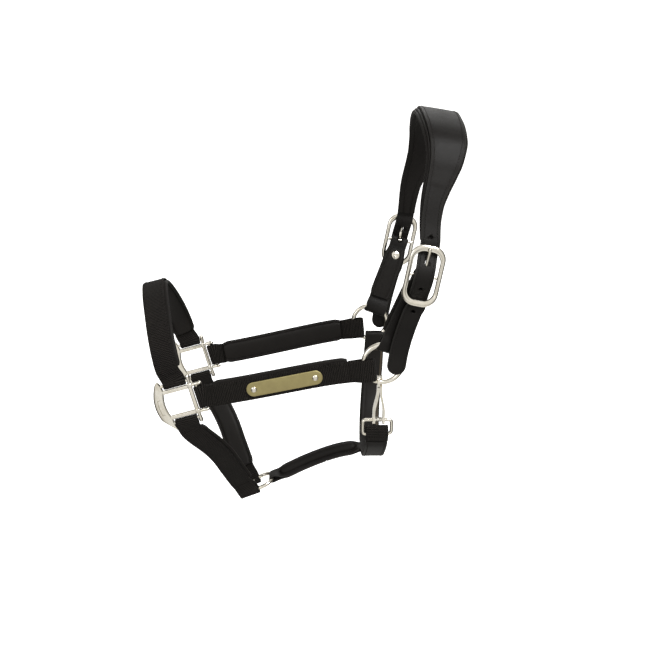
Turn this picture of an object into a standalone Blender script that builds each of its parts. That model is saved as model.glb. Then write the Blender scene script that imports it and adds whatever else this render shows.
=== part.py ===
"""Stable headcollar: leather crown, webbing nose and cheek straps, metal fittings and a throat snap.

Frame: X runs along the head towards the poll, Y is sideways (the near side is -Y), Z is up.
The origin is the middle of the crown pad's underside, where it rests on the poll.  Metres.
"""
import bpy
import bmesh
from math import cos, pi, radians, sin, sqrt
from mathutils import Matrix, Vector

# ---------------------------------------------------------------- driving sizes
GAP = 0.0004              # space kept between pieces that touch
TUNNEL_CLEARANCE = 0.0005  # around a bar or ring inside a strap fold

WEBBING_WIDTH = 0.025
WEBBING_THICKNESS = 0.0024
LINING_WIDTH = 0.0285
LINING_THICKNESS = 0.004
LINING_SHIFT = 0.0016     # the lining stands proud on one edge only

CROWN_THICKNESS = 0.0032
CROWN_PAD_THICKNESS = 0.005
CROWN_WIDTH_AT_POLL = 0.043
CROWN_PAD_EXTRA = 0.010   # pad width beyond the crown leather
TIP_WIDTH = 0.0205        # the crown's two buckle ends
TIP_HOLE_DIAMETER = 0.0042
TIP_HOLE_PITCH = 0.028

BUCKLE_LENGTH = 0.0655
BUCKLE_WIDTH = 0.038
BUCKLE_OPENING_LENGTH = 0.050
BUCKLE_OPENING_WIDTH = 0.0265
BUCKLE_THICKNESS = 0.0044
BUCKLE_BAR_DIAMETER = 0.004
BUCKLE_TILT = radians(11.0)
TONGUE_WIDTH = 0.0034
TONGUE_THICKNESS = 0.0024

BILLET_THICKNESS = 0.0046
BILLET_END_WIDTH = 0.0262
SCREW_HEAD_DIAMETER = 0.0105
SCREW_POST_DIAMETER = 0.004
SCREW_HEAD_THICKNESS = 0.0016

JOWL_RING_RADIUS = 0.0214  # to the middle of the wire
JOWL_WIRE = 0.0052
CHIN_RING_RADIUS = 0.0158
CHIN_WIRE = 0.0044

SQUARE_OPENING = 0.0266
SQUARE_BAR = 0.0036
SQUARE_TILT = radians(15.0)
SQUARE_POST = 0.0046
SQUARE_POST_REACH = 0.0285  # post tip from the fitting's centre
SQUARE_SLOT = 0.0072      # strap bar's distance outside the square's own bar
SQUARE_FRONT_BULGE = 0.0270
SQUARE_PLATE_THICKNESS = 0.0042

JAW_WIDTH = 0.018
JAW_THICKNESS = 0.0085

LOOP_WIRE = 0.004
LOOP_HEIGHT = 0.0165      # between the two long bars' middles
SNAP_PLATE = 0.0026
SNAP_LEG_WIDTH = 0.0072

PLATE_LENGTH = 0.085
PLATE_HEIGHT = 0.0165
PLATE_THICKNESS = 0.0012
PLATE_RIVET_DIAMETER = 0.0066
PLATE_RIVET_SPACING = 0.0685

# where things sit; the near side, mirrored for the far side
BUCKLE_CENTRE = Vector((-0.0215, -0.1040, -0.1555))
JOWL_CENTRE = Vector((-0.0595, -0.0825, -0.2570))
SQUARE_CENTRE = Vector((-0.2812, -0.0745, -0.3017))
CHIN_CENTRE = Vector((-0.1970, 0.0, -0.4360))
CHIN_SLOPE = radians(24.0)
THROAT_CENTRE_X = -0.0620
THROAT_BOTTOM_Z = -0.3925
LOOP_CENTRE_Y = -0.0770

X_AXIS = Vector((1, 0, 0))
Y_AXIS = Vector((0, 1, 0))
Z_AXIS = Vector((0, 0, 1))


# ---------------------------------------------------------------- materials
def material(name, colour, roughness, metallic=0.0):
    found = bpy.data.materials.get(name)
    if found:
        return found
    made = bpy.data.materials.new(name)
    made.use_nodes = True
    shader = made.node_tree.nodes["Principled BSDF"]
    shader.inputs["Base Color"].default_value = (*colour, 1.0)
    shader.inputs["Roughness"].default_value = roughness
    shader.inputs["Metallic"].default_value = metallic
    return made


def leather():
    return material("black_leather", (0.016, 0.015, 0.014), 0.5)


def soft_leather():
    return material("black_lining_leather", (0.022, 0.021, 0.020), 0.62)


def webbing():
    return material("black_webbing", (0.013, 0.012, 0.012), 0.85)


def nickel():
    return material("bright_nickel", (0.74, 0.71, 0.64), 0.22, 1.0)


def brass():
    return material("aged_brass", (0.42, 0.35, 0.20), 0.38, 1.0)


# ---------------------------------------------------------------- mesh helpers
def add_object(name, bm, finish, origin=Vector((0, 0, 0)), smooth=False):
    """Make a named object from world-space geometry, with its origin where it is asked for."""
    bmesh.ops.translate(bm, verts=bm.verts, vec=-origin)
    bmesh.ops.recalc_face_normals(bm, faces=bm.faces)
    mesh = bpy.data.meshes.new(name)
    bm.to_mesh(mesh)
    bm.free()
    if smooth:
        mesh.shade_smooth()
        mesh.set_sharp_from_angle(angle=radians(40))
    mesh.materials.append(finish)
    made = bpy.data.objects.new(name, mesh)
    made.location = origin
    bpy.context.scene.collection.objects.link(made)
    return made


def copy_to_far_side(near, name):
    """The mirrored piece on the other side of the head."""
    mesh = near.data.copy()
    mesh.name = name
    mesh.transform(Matrix.Scale(-1, 4, Y_AXIS))
    mesh.flip_normals()
    made = bpy.data.objects.new(name, mesh)
    made.location = (near.location.x, -near.location.y, near.location.z)
    bpy.context.scene.collection.objects.link(made)
    return made


def boolean(target, tools, operation, solver='EXACT'):
    """Cut or join with the tools, keep the result as plain mesh and remove the tools."""
    for tool in tools:
        step = target.modifiers.new("step", 'BOOLEAN')
        step.operation = operation
        step.solver = solver
        step.object = tool
    bpy.context.view_layer.update()
    graph = bpy.context.evaluated_depsgraph_get()
    result = bpy.data.meshes.new_from_object(target.evaluated_get(graph))
    target.modifiers.clear()
    target.data = result
    for tool in tools:
        bpy.data.objects.remove(tool)
    return target


def loft(sections):
    """Skin closed sections of equal point count, with a cap at each end."""
    bm = bmesh.new()
    rings = [[bm.verts.new(point) for point in section] for section in sections]
    count = len(rings[0])
    for first, second in zip(rings[:-1], rings[1:]):
        for i in range(count):
            j = (i + 1) % count
            bm.faces.new((first[i], first[j], second[j], second[i]))
    bm.faces.new(rings[0][::-1])
    bm.faces.new(rings[-1])
    return bm


def closed_loft(sections):
    """Skin sections into a closed ring."""
    bm = bmesh.new()
    rings = [[bm.verts.new(point) for point in section] for section in sections]
    count = len(rings[0])
    for index, first in enumerate(rings):
        second = rings[(index + 1) % len(rings)]
        for i in range(count):
            j = (i + 1) % count
            bm.faces.new((first[i], first[j], second[j], second[i]))
    return bm


def strap_section(centre, across, out, width, thickness):
    """Flat section with eased corners on its outer face."""
    half_width = width / 2
    half_thick = thickness / 2
    ease = min(0.3 * thickness, 0.0012)
    corners = [(-half_width, -half_thick), (half_width, -half_thick),
               (half_width, half_thick - ease), (half_width - ease, half_thick),
               (-half_width + ease, half_thick), (-half_width, half_thick - ease)]
    return [centre + across * u + out * v for u, v in corners]


def smooth_path(points, steps):
    """Catmull-Rom curve through the points (tuples of any length), steps per span."""
    ends = [tuple(2 * a - b for a, b in zip(points[0], points[1]))]
    ends += list(points)
    ends.append(tuple(2 * a - b for a, b in zip(points[-1], points[-2])))
    path = []
    for before, start, end, after in zip(ends, ends[1:], ends[2:], ends[3:]):
        for step in range(steps):
            t = step / steps
            path.append(tuple(
                0.5 * (2 * b + (c - a) * t + (2 * a - 5 * b + 4 * c - d) * t * t
                       + (3 * b - a - 3 * c + d) * t ** 3)
                for a, b, c, d in zip(before, start, end, after)))
    path.append(tuple(points[-1]))
    return path


def strap_frames(path, across_hint):
    """Centre, across and outward directions at each point; outward is along x cross."""
    frames = []
    for index, point in enumerate(path):
        before = path[max(index - 1, 0)]
        after = path[min(index + 1, len(path) - 1)]
        along = (after - before).normalized()
        hint = across_hint(point)
        across = (hint - along * hint.dot(along)).normalized()
        frames.append((point, across, along.cross(across)))
    return frames


def strap(name, frames, widths, thicknesses, finish, offset=0.0, shift=0.0):
    """Strap solid along frames; offset moves it outwards, shift moves it across."""
    sections = [strap_section(point + out * offset + across * shift, across, out, width, thickness)
                for (point, across, out), width, thickness in zip(frames, widths, thicknesses)]
    return add_object(name, loft(sections), finish)


def torus(centre, first, second, radius, wire, around=30, section=8):
    """Ring of wire in the plane of two unit directions."""
    normal = first.cross(second)
    sections = []
    for i in range(around):
        angle = 2 * pi * i / around
        spoke = first * cos(angle) + second * sin(angle)
        ring = []
        for j in range(section):
            turn = 2 * pi * j / section
            ring.append(centre + spoke * (radius + wire / 2 * cos(turn))
                        + normal * (wire / 2 * sin(turn)))
        sections.append(ring)
    return closed_loft(sections)


def rod(start, end, diameter, sides=10):
    """Straight round bar between two points."""
    along = (end - start).normalized()
    first = along.orthogonal().normalized()
    second = along.cross(first)
    sections = []
    for point in (start, end):
        sections.append([point + (first * cos(2 * pi * i / sides) + second * sin(2 * pi * i / sides))
                         * diameter / 2 for i in range(sides)])
    return loft(sections)


def turned(start, along, profile, sides=16):
    """Round piece from (distance along, radius) pairs."""
    first = along.orthogonal().normalized()
    second = along.cross(first)
    return loft([[start + along * distance
                  + (first * cos(2 * pi * i / sides) + second * sin(2 * pi * i / sides)) * radius
                  for i in range(sides)] for distance, radius in profile])


def box(centre, first, second, size_first, size_second, size_third):
    """Box with its edges along two unit directions and their cross product."""
    third = first.cross(second)
    sections = []
    for end in (-0.5, 0.5):
        sections.append([centre + third * (end * size_third) + first * (u * size_first)
                         + second * (v * size_second)
                         for u, v in ((-0.5, -0.5), (0.5, -0.5), (0.5, 0.5), (-0.5, 0.5))])
    return loft(sections)


def prism(outline, origin, first, second, depth):
    """Flat plate from a 2-D outline, centred on its origin's plane."""
    third = first.cross(second)
    return loft([[origin + first * u + second * v + third * end for u, v in outline]
                 for end in (-depth / 2, depth / 2)])


def rounded_rectangle(length, width, radius, per_corner=6):
    """Outline points, counter-clockwise, (length along u, width along v)."""
    points = []
    for quarter, (su, sv) in enumerate(((1, 1), (-1, 1), (-1, -1), (1, -1))):
        for step in range(per_corner):
            angle = pi / 2 * (quarter + step / (per_corner - 1))
            points.append((su * (length / 2 - radius) + radius * cos(angle),
                           sv * (width / 2 - radius) + radius * sin(angle)))
    return points


def tool(bm):
    return add_object("tool", bm, nickel())


def rising(x_lean):
    """A fixed direction across a strap, leaning up by an angle from X."""
    direction = Vector((cos(x_lean), 0, sin(x_lean)))
    return lambda point: direction


# ---------------------------------------------------------------- shared places
BUCKLE_UP = Vector((sin(BUCKLE_TILT), 0, cos(BUCKLE_TILT)))
BUCKLE_ACROSS = Vector((cos(BUCKLE_TILT), 0, -sin(BUCKLE_TILT)))
BUCKLE_BAR_INSET = BUCKLE_THICKNESS / 2 + 0.0003
BUCKLE_BAR_CENTRE = BUCKLE_CENTRE + Y_AXIS * BUCKLE_BAR_INSET
STRAP_BEHIND_FRAME = BUCKLE_THICKNESS / 2 + GAP + CROWN_THICKNESS / 2
FOLD_OUTER = BUCKLE_BAR_DIAMETER / 2 + TUNNEL_CLEARANCE + 0.0018
STRAP_OVER_BAR = FOLD_OUTER + GAP + CROWN_THICKNESS / 2 - BUCKLE_BAR_INSET
STRAP_THROUGH_BUCKLE = [
    # up from the buckle's middle, outwards from its plane
    (BUCKLE_LENGTH / 2 + 0.001, -STRAP_BEHIND_FRAME),
    (BUCKLE_OPENING_LENGTH / 2 - 0.0016, -STRAP_BEHIND_FRAME - 0.0003),
    (0.0065, STRAP_OVER_BAR - 0.0006),
    (-0.0065, STRAP_OVER_BAR - 0.0006),
    (-BUCKLE_OPENING_LENGTH / 2 + 0.0016, -STRAP_BEHIND_FRAME - 0.0003),
    (-BUCKLE_LENGTH / 2 - 0.001, -STRAP_BEHIND_FRAME),
]

SQUARE_RIGHT = Vector((cos(SQUARE_TILT), 0, sin(SQUARE_TILT)))
SQUARE_UP = Vector((-sin(SQUARE_TILT), 0, cos(SQUARE_TILT)))
SQUARE_BAR_OFFSET = SQUARE_OPENING / 2 + SQUARE_BAR / 2
STRAP_BAR_OFFSET = SQUARE_BAR_OFFSET + SQUARE_SLOT

CHIN_ALONG = Vector((cos(CHIN_SLOPE), 0, sin(CHIN_SLOPE)))

LOOP_LOW_BAR = Vector((THROAT_CENTRE_X - 0.002, LOOP_CENTRE_Y, -0.3415))
LOOP_TOP_BAR = LOOP_LOW_BAR + Z_AXIS * LOOP_HEIGHT
LOOP_INNER_WIDTH = WEBBING_WIDTH + 0.003

FOLD_AT_SQUARE = SQUARE_BAR + 2 * (TUNNEL_CLEARANCE + 0.0019)
FOLD_AT_JOWL = JOWL_WIRE + 2 * (TUNNEL_CLEARANCE + 0.0020)
FOLD_AT_CHIN = CHIN_WIRE + 2 * (TUNNEL_CLEARANCE + 0.0020)
FOLD_AT_LOOP = LOOP_WIRE + 2 * (TUNNEL_CLEARANCE + 0.0020)


def jowl_tunnel():
    return tool(torus(JOWL_CENTRE, X_AXIS, Z_AXIS, JOWL_RING_RADIUS, JOWL_WIRE + 2 * TUNNEL_CLEARANCE))


def chin_tunnel():
    return tool(torus(CHIN_CENTRE, CHIN_ALONG, Y_AXIS, CHIN_RING_RADIUS,
                      CHIN_WIRE + 2 * TUNNEL_CLEARANCE))


def square_tunnel(centre, along):
    reach = SQUARE_OPENING
    return tool(rod(centre - along * reach, centre + along * reach, SQUARE_BAR + 2 * TUNNEL_CLEARANCE))


def part_of(frames, start, end):
    """The frames whose distance along the path lies between start and end."""
    kept = []
    travelled = 0.0
    for index, frame in enumerate(frames):
        if index:
            travelled += (frame[0] - frames[index - 1][0]).length
        if start <= travelled <= end:
            kept.append(frame)
    return kept


def path_length(points):
    return sum((b - a).length for a, b in zip(points, points[1:]))


def blend(distance, stops):
    """Value at a distance, between (distance, value) stops."""
    if distance <= stops[0][0]:
        return stops[0][1]
    for (d0, v0), (d1, v1) in zip(stops, stops[1:]):
        if distance <= d1:
            return v0 + (v1 - v0) * (distance - d0) / (d1 - d0)
    return stops[-1][1]


def stations(frames, stops):
    """A value for every frame from (distance, value) stops; negative distances count from the end."""
    total = path_length([frame[0] for frame in frames])
    placed = sorted((d if d >= 0 else total + d, v) for d, v in stops)
    values = []
    travelled = 0.0
    for index, frame in enumerate(frames):
        if index:
            travelled += (frame[0] - frames[index - 1][0]).length
        values.append(blend(travelled, placed))
    return values


def fold_stops(fold, thickness, reach, at_end=False):
    """Thickness from a folded, rounded strap end to the plain strap; reach is the bar's distance."""
    stops = [(0.0, 0.45 * fold), (0.45 * reach, 0.86 * fold), (reach, fold),
             (reach + 0.35 * fold, 0.9 * fold), (reach + 1.6 * fold, thickness)]
    if not at_end:
        return stops
    return [(-distance if distance else -1e-6, value) for distance, value in stops]


def inner_offset(outer_thickness, inner_thickness):
    return -(outer_thickness / 2 + GAP + inner_thickness / 2)


# ---------------------------------------------------------------- crown
CROWN_HALF = [
    # x, y, z, width of the leather, from the poll down to the tip of the near end
    (0.0040, 0.0, CROWN_PAD_THICKNESS + GAP + CROWN_THICKNESS / 2, CROWN_WIDTH_AT_POLL),
    (0.0043, -0.0170, 0.0047, 0.0427),
    (0.0046, -0.0345, -0.0010, 0.0420),
    (0.0050, -0.0530, -0.0105, 0.0400),
    (0.0048, -0.0660, -0.0215, 0.0375),
    (0.0020, -0.0755, -0.0390, 0.0325),
    (-0.0020, -0.0800, -0.0525, 0.0280),
    (-0.0070, -0.0845, -0.0670, 0.0235),
    (-0.0115, -0.0890, -0.0830, TIP_WIDTH),
    (-0.0140, -0.0940, -0.1030, TIP_WIDTH),
]
TAIL = [(-0.0315, -0.0978, -0.1965, TIP_WIDTH), (-0.0385, -0.0938, -0.2200, TIP_WIDTH),
        (-0.0435, -0.0915, -0.2420, TIP_WIDTH), (-0.0470, -0.0912, -0.2670, TIP_WIDTH)]


def buckle_point(up, out):
    place = BUCKLE_CENTRE + BUCKLE_UP * up - Y_AXIS * out
    return (place.x, place.y, place.z, TIP_WIDTH)


def crown_frames():
    half = list(CROWN_HALF)
    for up, out in STRAP_THROUGH_BUCKLE:
        half.append(buckle_point(up, out))
    half += TAIL
    mirrored = [(x, -y, z, width) for x, y, z, width in half[2:0:-1]]
    half = smooth_path(mirrored + half, 2)[2 * len(mirrored):]
    tip = TIP_WIDTH / 2
    rounded = []
    for x, y, z, width in half:
        to_tip = (Vector((x, y, z)) - Vector(half[-1][:3])).length
        if to_tip < tip:
            width = max(2 * sqrt(tip ** 2 - (tip - to_tip) ** 2), 0.3 * TIP_WIDTH)
        rounded.append((x, y, z, width))
    whole = [(x, -y, z, width) for x, y, z, width in rounded[:0:-1]] + rounded
    frames = strap_frames([Vector(point[:3]) for point in whole], rising(radians(-9)))
    return frames, [point[3] for point in whole]


def make_crown():
    frames, widths = crown_frames()
    middle = len(frames) // 2
    crown = strap("crown_strap", frames, widths, [CROWN_THICKNESS] * len(frames), leather())
    tools = []
    bar = min(range(middle, len(frames)), key=lambda i: (frames[i][0] - BUCKLE_CENTRE).length)
    slot_centre = BUCKLE_CENTRE + BUCKLE_UP * 0.0111 - Y_AXIS * 0.001
    for side in (1, -1):
        centre = Vector((slot_centre.x, slot_centre.y * side, slot_centre.z))
        tools.append(tool(box(centre, BUCKLE_ACROSS, BUCKLE_UP, TONGUE_WIDTH + 0.0012, 0.0197, 0.02)))
        for pitch in (-1.5, 0.5, 1.5):
            place, across, out = nearest_at(frames, bar, pitch * TIP_HOLE_PITCH)
            place = Vector((place.x, place.y * side, place.z))
            out = Vector((out.x, out.y * side, out.z))
            tools.append(tool(rod(place - out * 0.006, place + out * 0.006, TIP_HOLE_DIAMETER, 10)))
    boolean(crown, tools, 'DIFFERENCE', 'MANIFOLD')

    pad_frames = [frame for frame in frames
                  if frame[0].z > BUCKLE_CENTRE.z + BUCKLE_LENGTH / 2 + 0.004]
    count = len(pad_frames)
    skipped = (len(frames) - count) // 2
    pad_widths = []
    pad_thick = []
    for index in range(count):
        share = abs(2 * index / (count - 1) - 1)
        extra = CROWN_PAD_EXTRA * (1 - share) + 0.0045 * share
        pad_widths.append(widths[index + skipped] + extra)
        pad_thick.append(CROWN_PAD_THICKNESS * min(1, 0.5 + 4 * (1 - share)))
    sections = []
    for (point, across, out), width, thickness in zip(pad_frames, pad_widths, pad_thick):
        centre = point + out * inner_offset(CROWN_THICKNESS, thickness)
        sections.append(strap_section(centre, across, out, width, thickness))
    add_object("crown_pad", loft(sections), soft_leather())


def nearest_at(frames, start, distance):
    """The frame a distance further along than a starting frame."""
    step = 1 if distance > 0 else -1
    travelled = 0.0
    index = start
    while travelled < abs(distance):
        travelled += (frames[index + step][0] - frames[index][0]).length
        index += step
    return frames[index]


# ---------------------------------------------------------------- crown buckles
def make_buckle():
    outer = rounded_rectangle(BUCKLE_LENGTH, BUCKLE_WIDTH, 0.0125, 7)
    inner = rounded_rectangle(BUCKLE_OPENING_LENGTH, BUCKLE_OPENING_WIDTH, 0.0070, 7)
    sections = []
    for (ou, ov), (iu, iv) in zip(outer, inner):
        section = []
        for share, height in ((0, -0.5), (0, 0.15), (0.22, 0.5), (0.78, 0.5), (1, 0.15), (1, -0.5)):
            u = ou + (iu - ou) * share
            v = ov + (iv - ov) * share
            section.append(BUCKLE_CENTRE + BUCKLE_UP * u + BUCKLE_ACROSS * v
                           - Y_AXIS * (height * BUCKLE_THICKNESS))
        sections.append(section)
    frame = add_object("near_buckle_frame", closed_loft(sections), nickel())
    half = BUCKLE_OPENING_WIDTH / 2 + 0.0028
    bar = tool(rod(BUCKLE_BAR_CENTRE - BUCKLE_ACROSS * half, BUCKLE_BAR_CENTRE + BUCKLE_ACROSS * half,
                   BUCKLE_BAR_DIAMETER))
    boolean(frame, [bar], 'UNION')
    frame.data.shade_smooth()
    frame.data.set_sharp_from_angle(angle=radians(35))
    copy_to_far_side(frame, "far_buckle_frame")

    eye = BUCKLE_BAR_DIAMETER / 2 + 0.0004
    reach = (BUCKLE_LENGTH + BUCKLE_OPENING_LENGTH) / 4 + 0.002
    rest = BUCKLE_THICKNESS / 2 + BUCKLE_BAR_INSET + 0.0003
    outline = [(0.7 * (eye + 0.0015), -0.7 * (eye + 0.0015))]
    outline += [(reach - 0.0095, rest - 0.0008), (reach - 0.007, rest), (reach - 0.001, rest), (reach, rest + 0.5 * TONGUE_THICKNESS),
                (reach - 0.001, rest + TONGUE_THICKNESS), (reach - 0.006, rest + TONGUE_THICKNESS - 0.0008)]
    for step in range(10):
        angle = radians(85 + 23 * step)
        outline.append(((eye + 0.0015) * cos(angle), (eye + 0.0015) * sin(angle)))
    tongue = add_object("near_buckle_tongue",
                        prism(outline, BUCKLE_BAR_CENTRE, BUCKLE_UP, -Y_AXIS, TONGUE_WIDTH), nickel())
    hole = tool(rod(BUCKLE_BAR_CENTRE - BUCKLE_ACROSS * 0.01, BUCKLE_BAR_CENTRE + BUCKLE_ACROSS * 0.01,
                    2 * eye))
    boolean(tongue, [hole], 'DIFFERENCE')
    tongue.data.transform(Matrix.Translation(-BUCKLE_BAR_CENTRE))
    tongue.location = BUCKLE_BAR_CENTRE
    copy_to_far_side(tongue, "far_buckle_tongue")


# ---------------------------------------------------------------- cheek billets
BILLET_RING_ANGLE = radians(22)
BILLET_RING_POINT = JOWL_CENTRE + JOWL_RING_RADIUS * Vector((sin(BILLET_RING_ANGLE), 0,
                                                             cos(BILLET_RING_ANGLE)))


def make_billet():
    down = (BILLET_RING_POINT - BUCKLE_BAR_CENTRE).normalized()
    top_reach = FOLD_OUTER
    end_reach = FOLD_AT_JOWL / 2 + 0.004
    start = BUCKLE_BAR_CENTRE - down * top_reach
    end = BILLET_RING_POINT + down * end_reach
    points = [start, BUCKLE_BAR_CENTRE, BUCKLE_BAR_CENTRE.lerp(BILLET_RING_POINT, 0.30) + Y_AXIS * 0.0034,
              BUCKLE_BAR_CENTRE.lerp(BILLET_RING_POINT, 0.65) + Y_AXIS * 0.0022, BILLET_RING_POINT, end]
    path = [Vector(p) for p in smooth_path([tuple(p) for p in points], 5)]
    frames = strap_frames(path, rising(radians(-15)))
    length = path_length(path)
    thick = stations(frames, fold_stops(2 * FOLD_OUTER, BILLET_THICKNESS, top_reach)
                     + fold_stops(FOLD_AT_JOWL, BILLET_THICKNESS, end_reach, True))
    widths = stations(frames, [(0, TIP_WIDTH), (0.02, TIP_WIDTH + 0.001), (length, BILLET_END_WIDTH)])
    billet = strap("near_cheek_billet", frames, widths, thick, leather())

    lining_thick = 0.0034
    lining_frames = part_of(frames, top_reach + 0.0135, length - end_reach - 0.0135)
    offset = inner_offset(BILLET_THICKNESS, lining_thick)
    lining = strap("near_billet_lining", lining_frames,
                   stations(lining_frames, [(0, TIP_WIDTH + 0.005), (-1e-6, BILLET_END_WIDTH + 0.0035)]),
                   [lining_thick] * len(lining_frames), soft_leather(), offset, -0.0014)

    place, across, out = part_of(frames, top_reach + 0.021, length)[0]
    inner_face = BILLET_THICKNESS / 2 + GAP + lining_thick
    outer_face = BILLET_THICKNESS / 2
    head = SCREW_HEAD_DIAMETER / 2
    post = SCREW_POST_DIAMETER / 2
    seat = inner_face + GAP
    flush = 0.0011
    profile = [(seat + SCREW_HEAD_THICKNESS, 0.62 * head), (seat + 0.6 * SCREW_HEAD_THICKNESS, head),
               (seat, head), (seat, post), (-outer_face + flush, post), (-outer_face + flush, 0.8 * head),
               (-outer_face + 0.0002, 0.8 * head)]
    screw = add_object("near_billet_screw", turned(place, -out, profile, 14), nickel(), smooth=True)
    room = 0.0003
    hole = [(0.02, post + room), (-outer_face + flush + room, post + room),
            (-outer_face + flush + room, 0.8 * head + room), (-0.01, 0.8 * head + room)]
    boolean(billet, [jowl_tunnel(), bar_tunnel(), tongue_slot(),
                     tool(turned(place, -out, hole, 20))], 'DIFFERENCE', 'MANIFOLD')
    boolean(lining, [tool(rod(place - out * 0.01, place + out * 0.01, 2 * (post + room)))],
            'DIFFERENCE', 'MANIFOLD')
    for piece in (billet, lining, screw):
        copy_to_far_side(piece, piece.name.replace("near", "far"))


def bar_tunnel():
    half = BUCKLE_WIDTH / 2
    return tool(rod(BUCKLE_BAR_CENTRE - BUCKLE_ACROSS * half, BUCKLE_BAR_CENTRE + BUCKLE_ACROSS * half,
                    BUCKLE_BAR_DIAMETER + 2 * TUNNEL_CLEARANCE))


def tongue_slot():
    return tool(box(BUCKLE_BAR_CENTRE + BUCKLE_UP * 0.001, BUCKLE_ACROSS, BUCKLE_UP,
                    TONGUE_WIDTH + 0.0012, 0.0125, 0.02))


# ---------------------------------------------------------------- rings
def make_rings():
    ring = add_object("near_jowl_ring", torus(JOWL_CENTRE, X_AXIS, Z_AXIS, JOWL_RING_RADIUS, JOWL_WIRE),
                      nickel(), JOWL_CENTRE, True)
    copy_to_far_side(ring, "far_jowl_ring")
    add_object("chin_ring", torus(CHIN_CENTRE, CHIN_ALONG, Y_AXIS, CHIN_RING_RADIUS, CHIN_WIRE),
               nickel(), CHIN_CENTRE, True)


# ---------------------------------------------------------------- square fittings
def square_point(u, v, out=0.0):
    return SQUARE_CENTRE + SQUARE_RIGHT * u + SQUARE_UP * v - Y_AXIS * out


def make_square():
    side = SQUARE_BAR_OFFSET
    outer = STRAP_BAR_OFFSET
    post = WEBBING_WIDTH / 2 + 0.0010 + SQUARE_POST / 2
    front_edge = -SQUARE_OPENING / 2
    half_height = SQUARE_POST_REACH - 0.0005
    outline = [(front_edge, -side - 0.002), (front_edge, side + 0.002),
               (front_edge - 0.0024, half_height - 0.002), (front_edge - 0.0036, half_height)]
    steps = 10
    for step in range(steps + 1):
        v = half_height * (1 - 2 * step / steps)
        bulge = (SQUARE_FRONT_BULGE + front_edge - 0.0062) * (1 - (v / half_height) ** 2)
        outline.append((front_edge - 0.0062 - bulge, v))
    outline += [(front_edge - 0.0036, -half_height), (front_edge - 0.0024, 0.002 - half_height)]
    frame = add_object("near_square", prism(outline, SQUARE_CENTRE, SQUARE_RIGHT, SQUARE_UP,
                                            SQUARE_PLATE_THICKNESS), nickel())
    tools = []
    for start, end in (((front_edge - 0.002, side), (post, side)),
                       ((front_edge - 0.002, -side), (post, -side)),
                       ((side, -post), (side, post)),
                       ((front_edge - 0.004, outer), (post, outer)),
                       ((front_edge - 0.004, -outer), (post, -outer)),
                       ((outer, -post), (outer, post))):
        tools.append(tool(rod(square_point(*start), square_point(*end), SQUARE_BAR, 8)))
    ball = SQUARE_POST / 2
    length = SQUARE_POST_REACH - side + 0.002
    profile = [(0, 0.8 * ball), (0.50 * length, 0.82 * ball), (0.66 * length, ball),
               (0.90 * length, ball), (length, 0.45 * ball)]
    for level in (1, -1):
        for start, direction in ((square_point(post, level * (side - 0.002)), SQUARE_UP * level),
                                 (square_point(side - 0.002, level * post), SQUARE_RIGHT)):
            tools.append(tool(turned(start, direction, profile, 8)))
        corner = 0.5 * (post + side)
        tools.append(tool(box(square_point(corner, level * corner), SQUARE_RIGHT, SQUARE_UP,
                              0.0044, 0.0044, 0.98 * SQUARE_BAR)))
    boolean(frame, tools, 'UNION', 'MANIFOLD')
    slot = [(u - 0.0205, v - 0.001) for u, v in rounded_rectangle(0.0030, 0.0190, 0.0014, 4)]
    boolean(frame, [tool(prism(slot, SQUARE_CENTRE - Y_AXIS * 0.0026, SQUARE_RIGHT, SQUARE_UP, 0.0024))],
            'DIFFERENCE', 'MANIFOLD')
    frame.data.shade_smooth()
    frame.data.set_sharp_from_angle(angle=radians(35))
    copy_to_far_side(frame, "far_square")


# ---------------------------------------------------------------- nose, cheek and chin straps
def make_noseband():
    end_reach = FOLD_AT_SQUARE / 2
    top_bar = square_point(0, STRAP_BAR_OFFSET)
    half = [square_point(0, STRAP_BAR_OFFSET - end_reach), top_bar,
            square_point(0, STRAP_BAR_OFFSET + end_reach), square_point(-0.0030, 0.0400, 0.0004), Vector((-0.2992, -0.0700, -0.2460)),
            Vector((-0.3040, -0.0585, -0.2270)), Vector((-0.3082, -0.0435, -0.2105)),
            Vector((-0.3125, -0.0260, -0.1950)), Vector((-0.3150, -0.0100, -0.1855))]
    points = half + [Vector((-0.3158, 0, -0.1838))]
    points += [Vector((p.x, -p.y, p.z)) for p in half[::-1]]
    path = [Vector(p) for p in smooth_path([tuple(p) for p in points[::-1]], 3)]
    frames = strap_frames(path, rising(radians(14)))
    thick = stations(frames, fold_stops(FOLD_AT_SQUARE, WEBBING_THICKNESS, end_reach)
                     + fold_stops(FOLD_AT_SQUARE, WEBBING_THICKNESS, end_reach, True))
    band = strap("noseband_strap", frames, [WEBBING_WIDTH] * len(frames), thick, webbing())
    tools = []
    for side in (-1, 1):
        centre = Vector((top_bar.x, top_bar.y * -side, top_bar.z))
        tools.append(square_tunnel(centre, SQUARE_RIGHT))
    boolean(band, tools, 'DIFFERENCE', 'MANIFOLD')
    length = path_length(path)
    pad_frames = part_of(frames, 0.021, length - 0.021)
    strap("noseband_pad", pad_frames, [LINING_WIDTH] * len(pad_frames),
          [LINING_THICKNESS] * len(pad_frames), soft_leather(),
          inner_offset(WEBBING_THICKNESS, LINING_THICKNESS), LINING_SHIFT)


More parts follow.
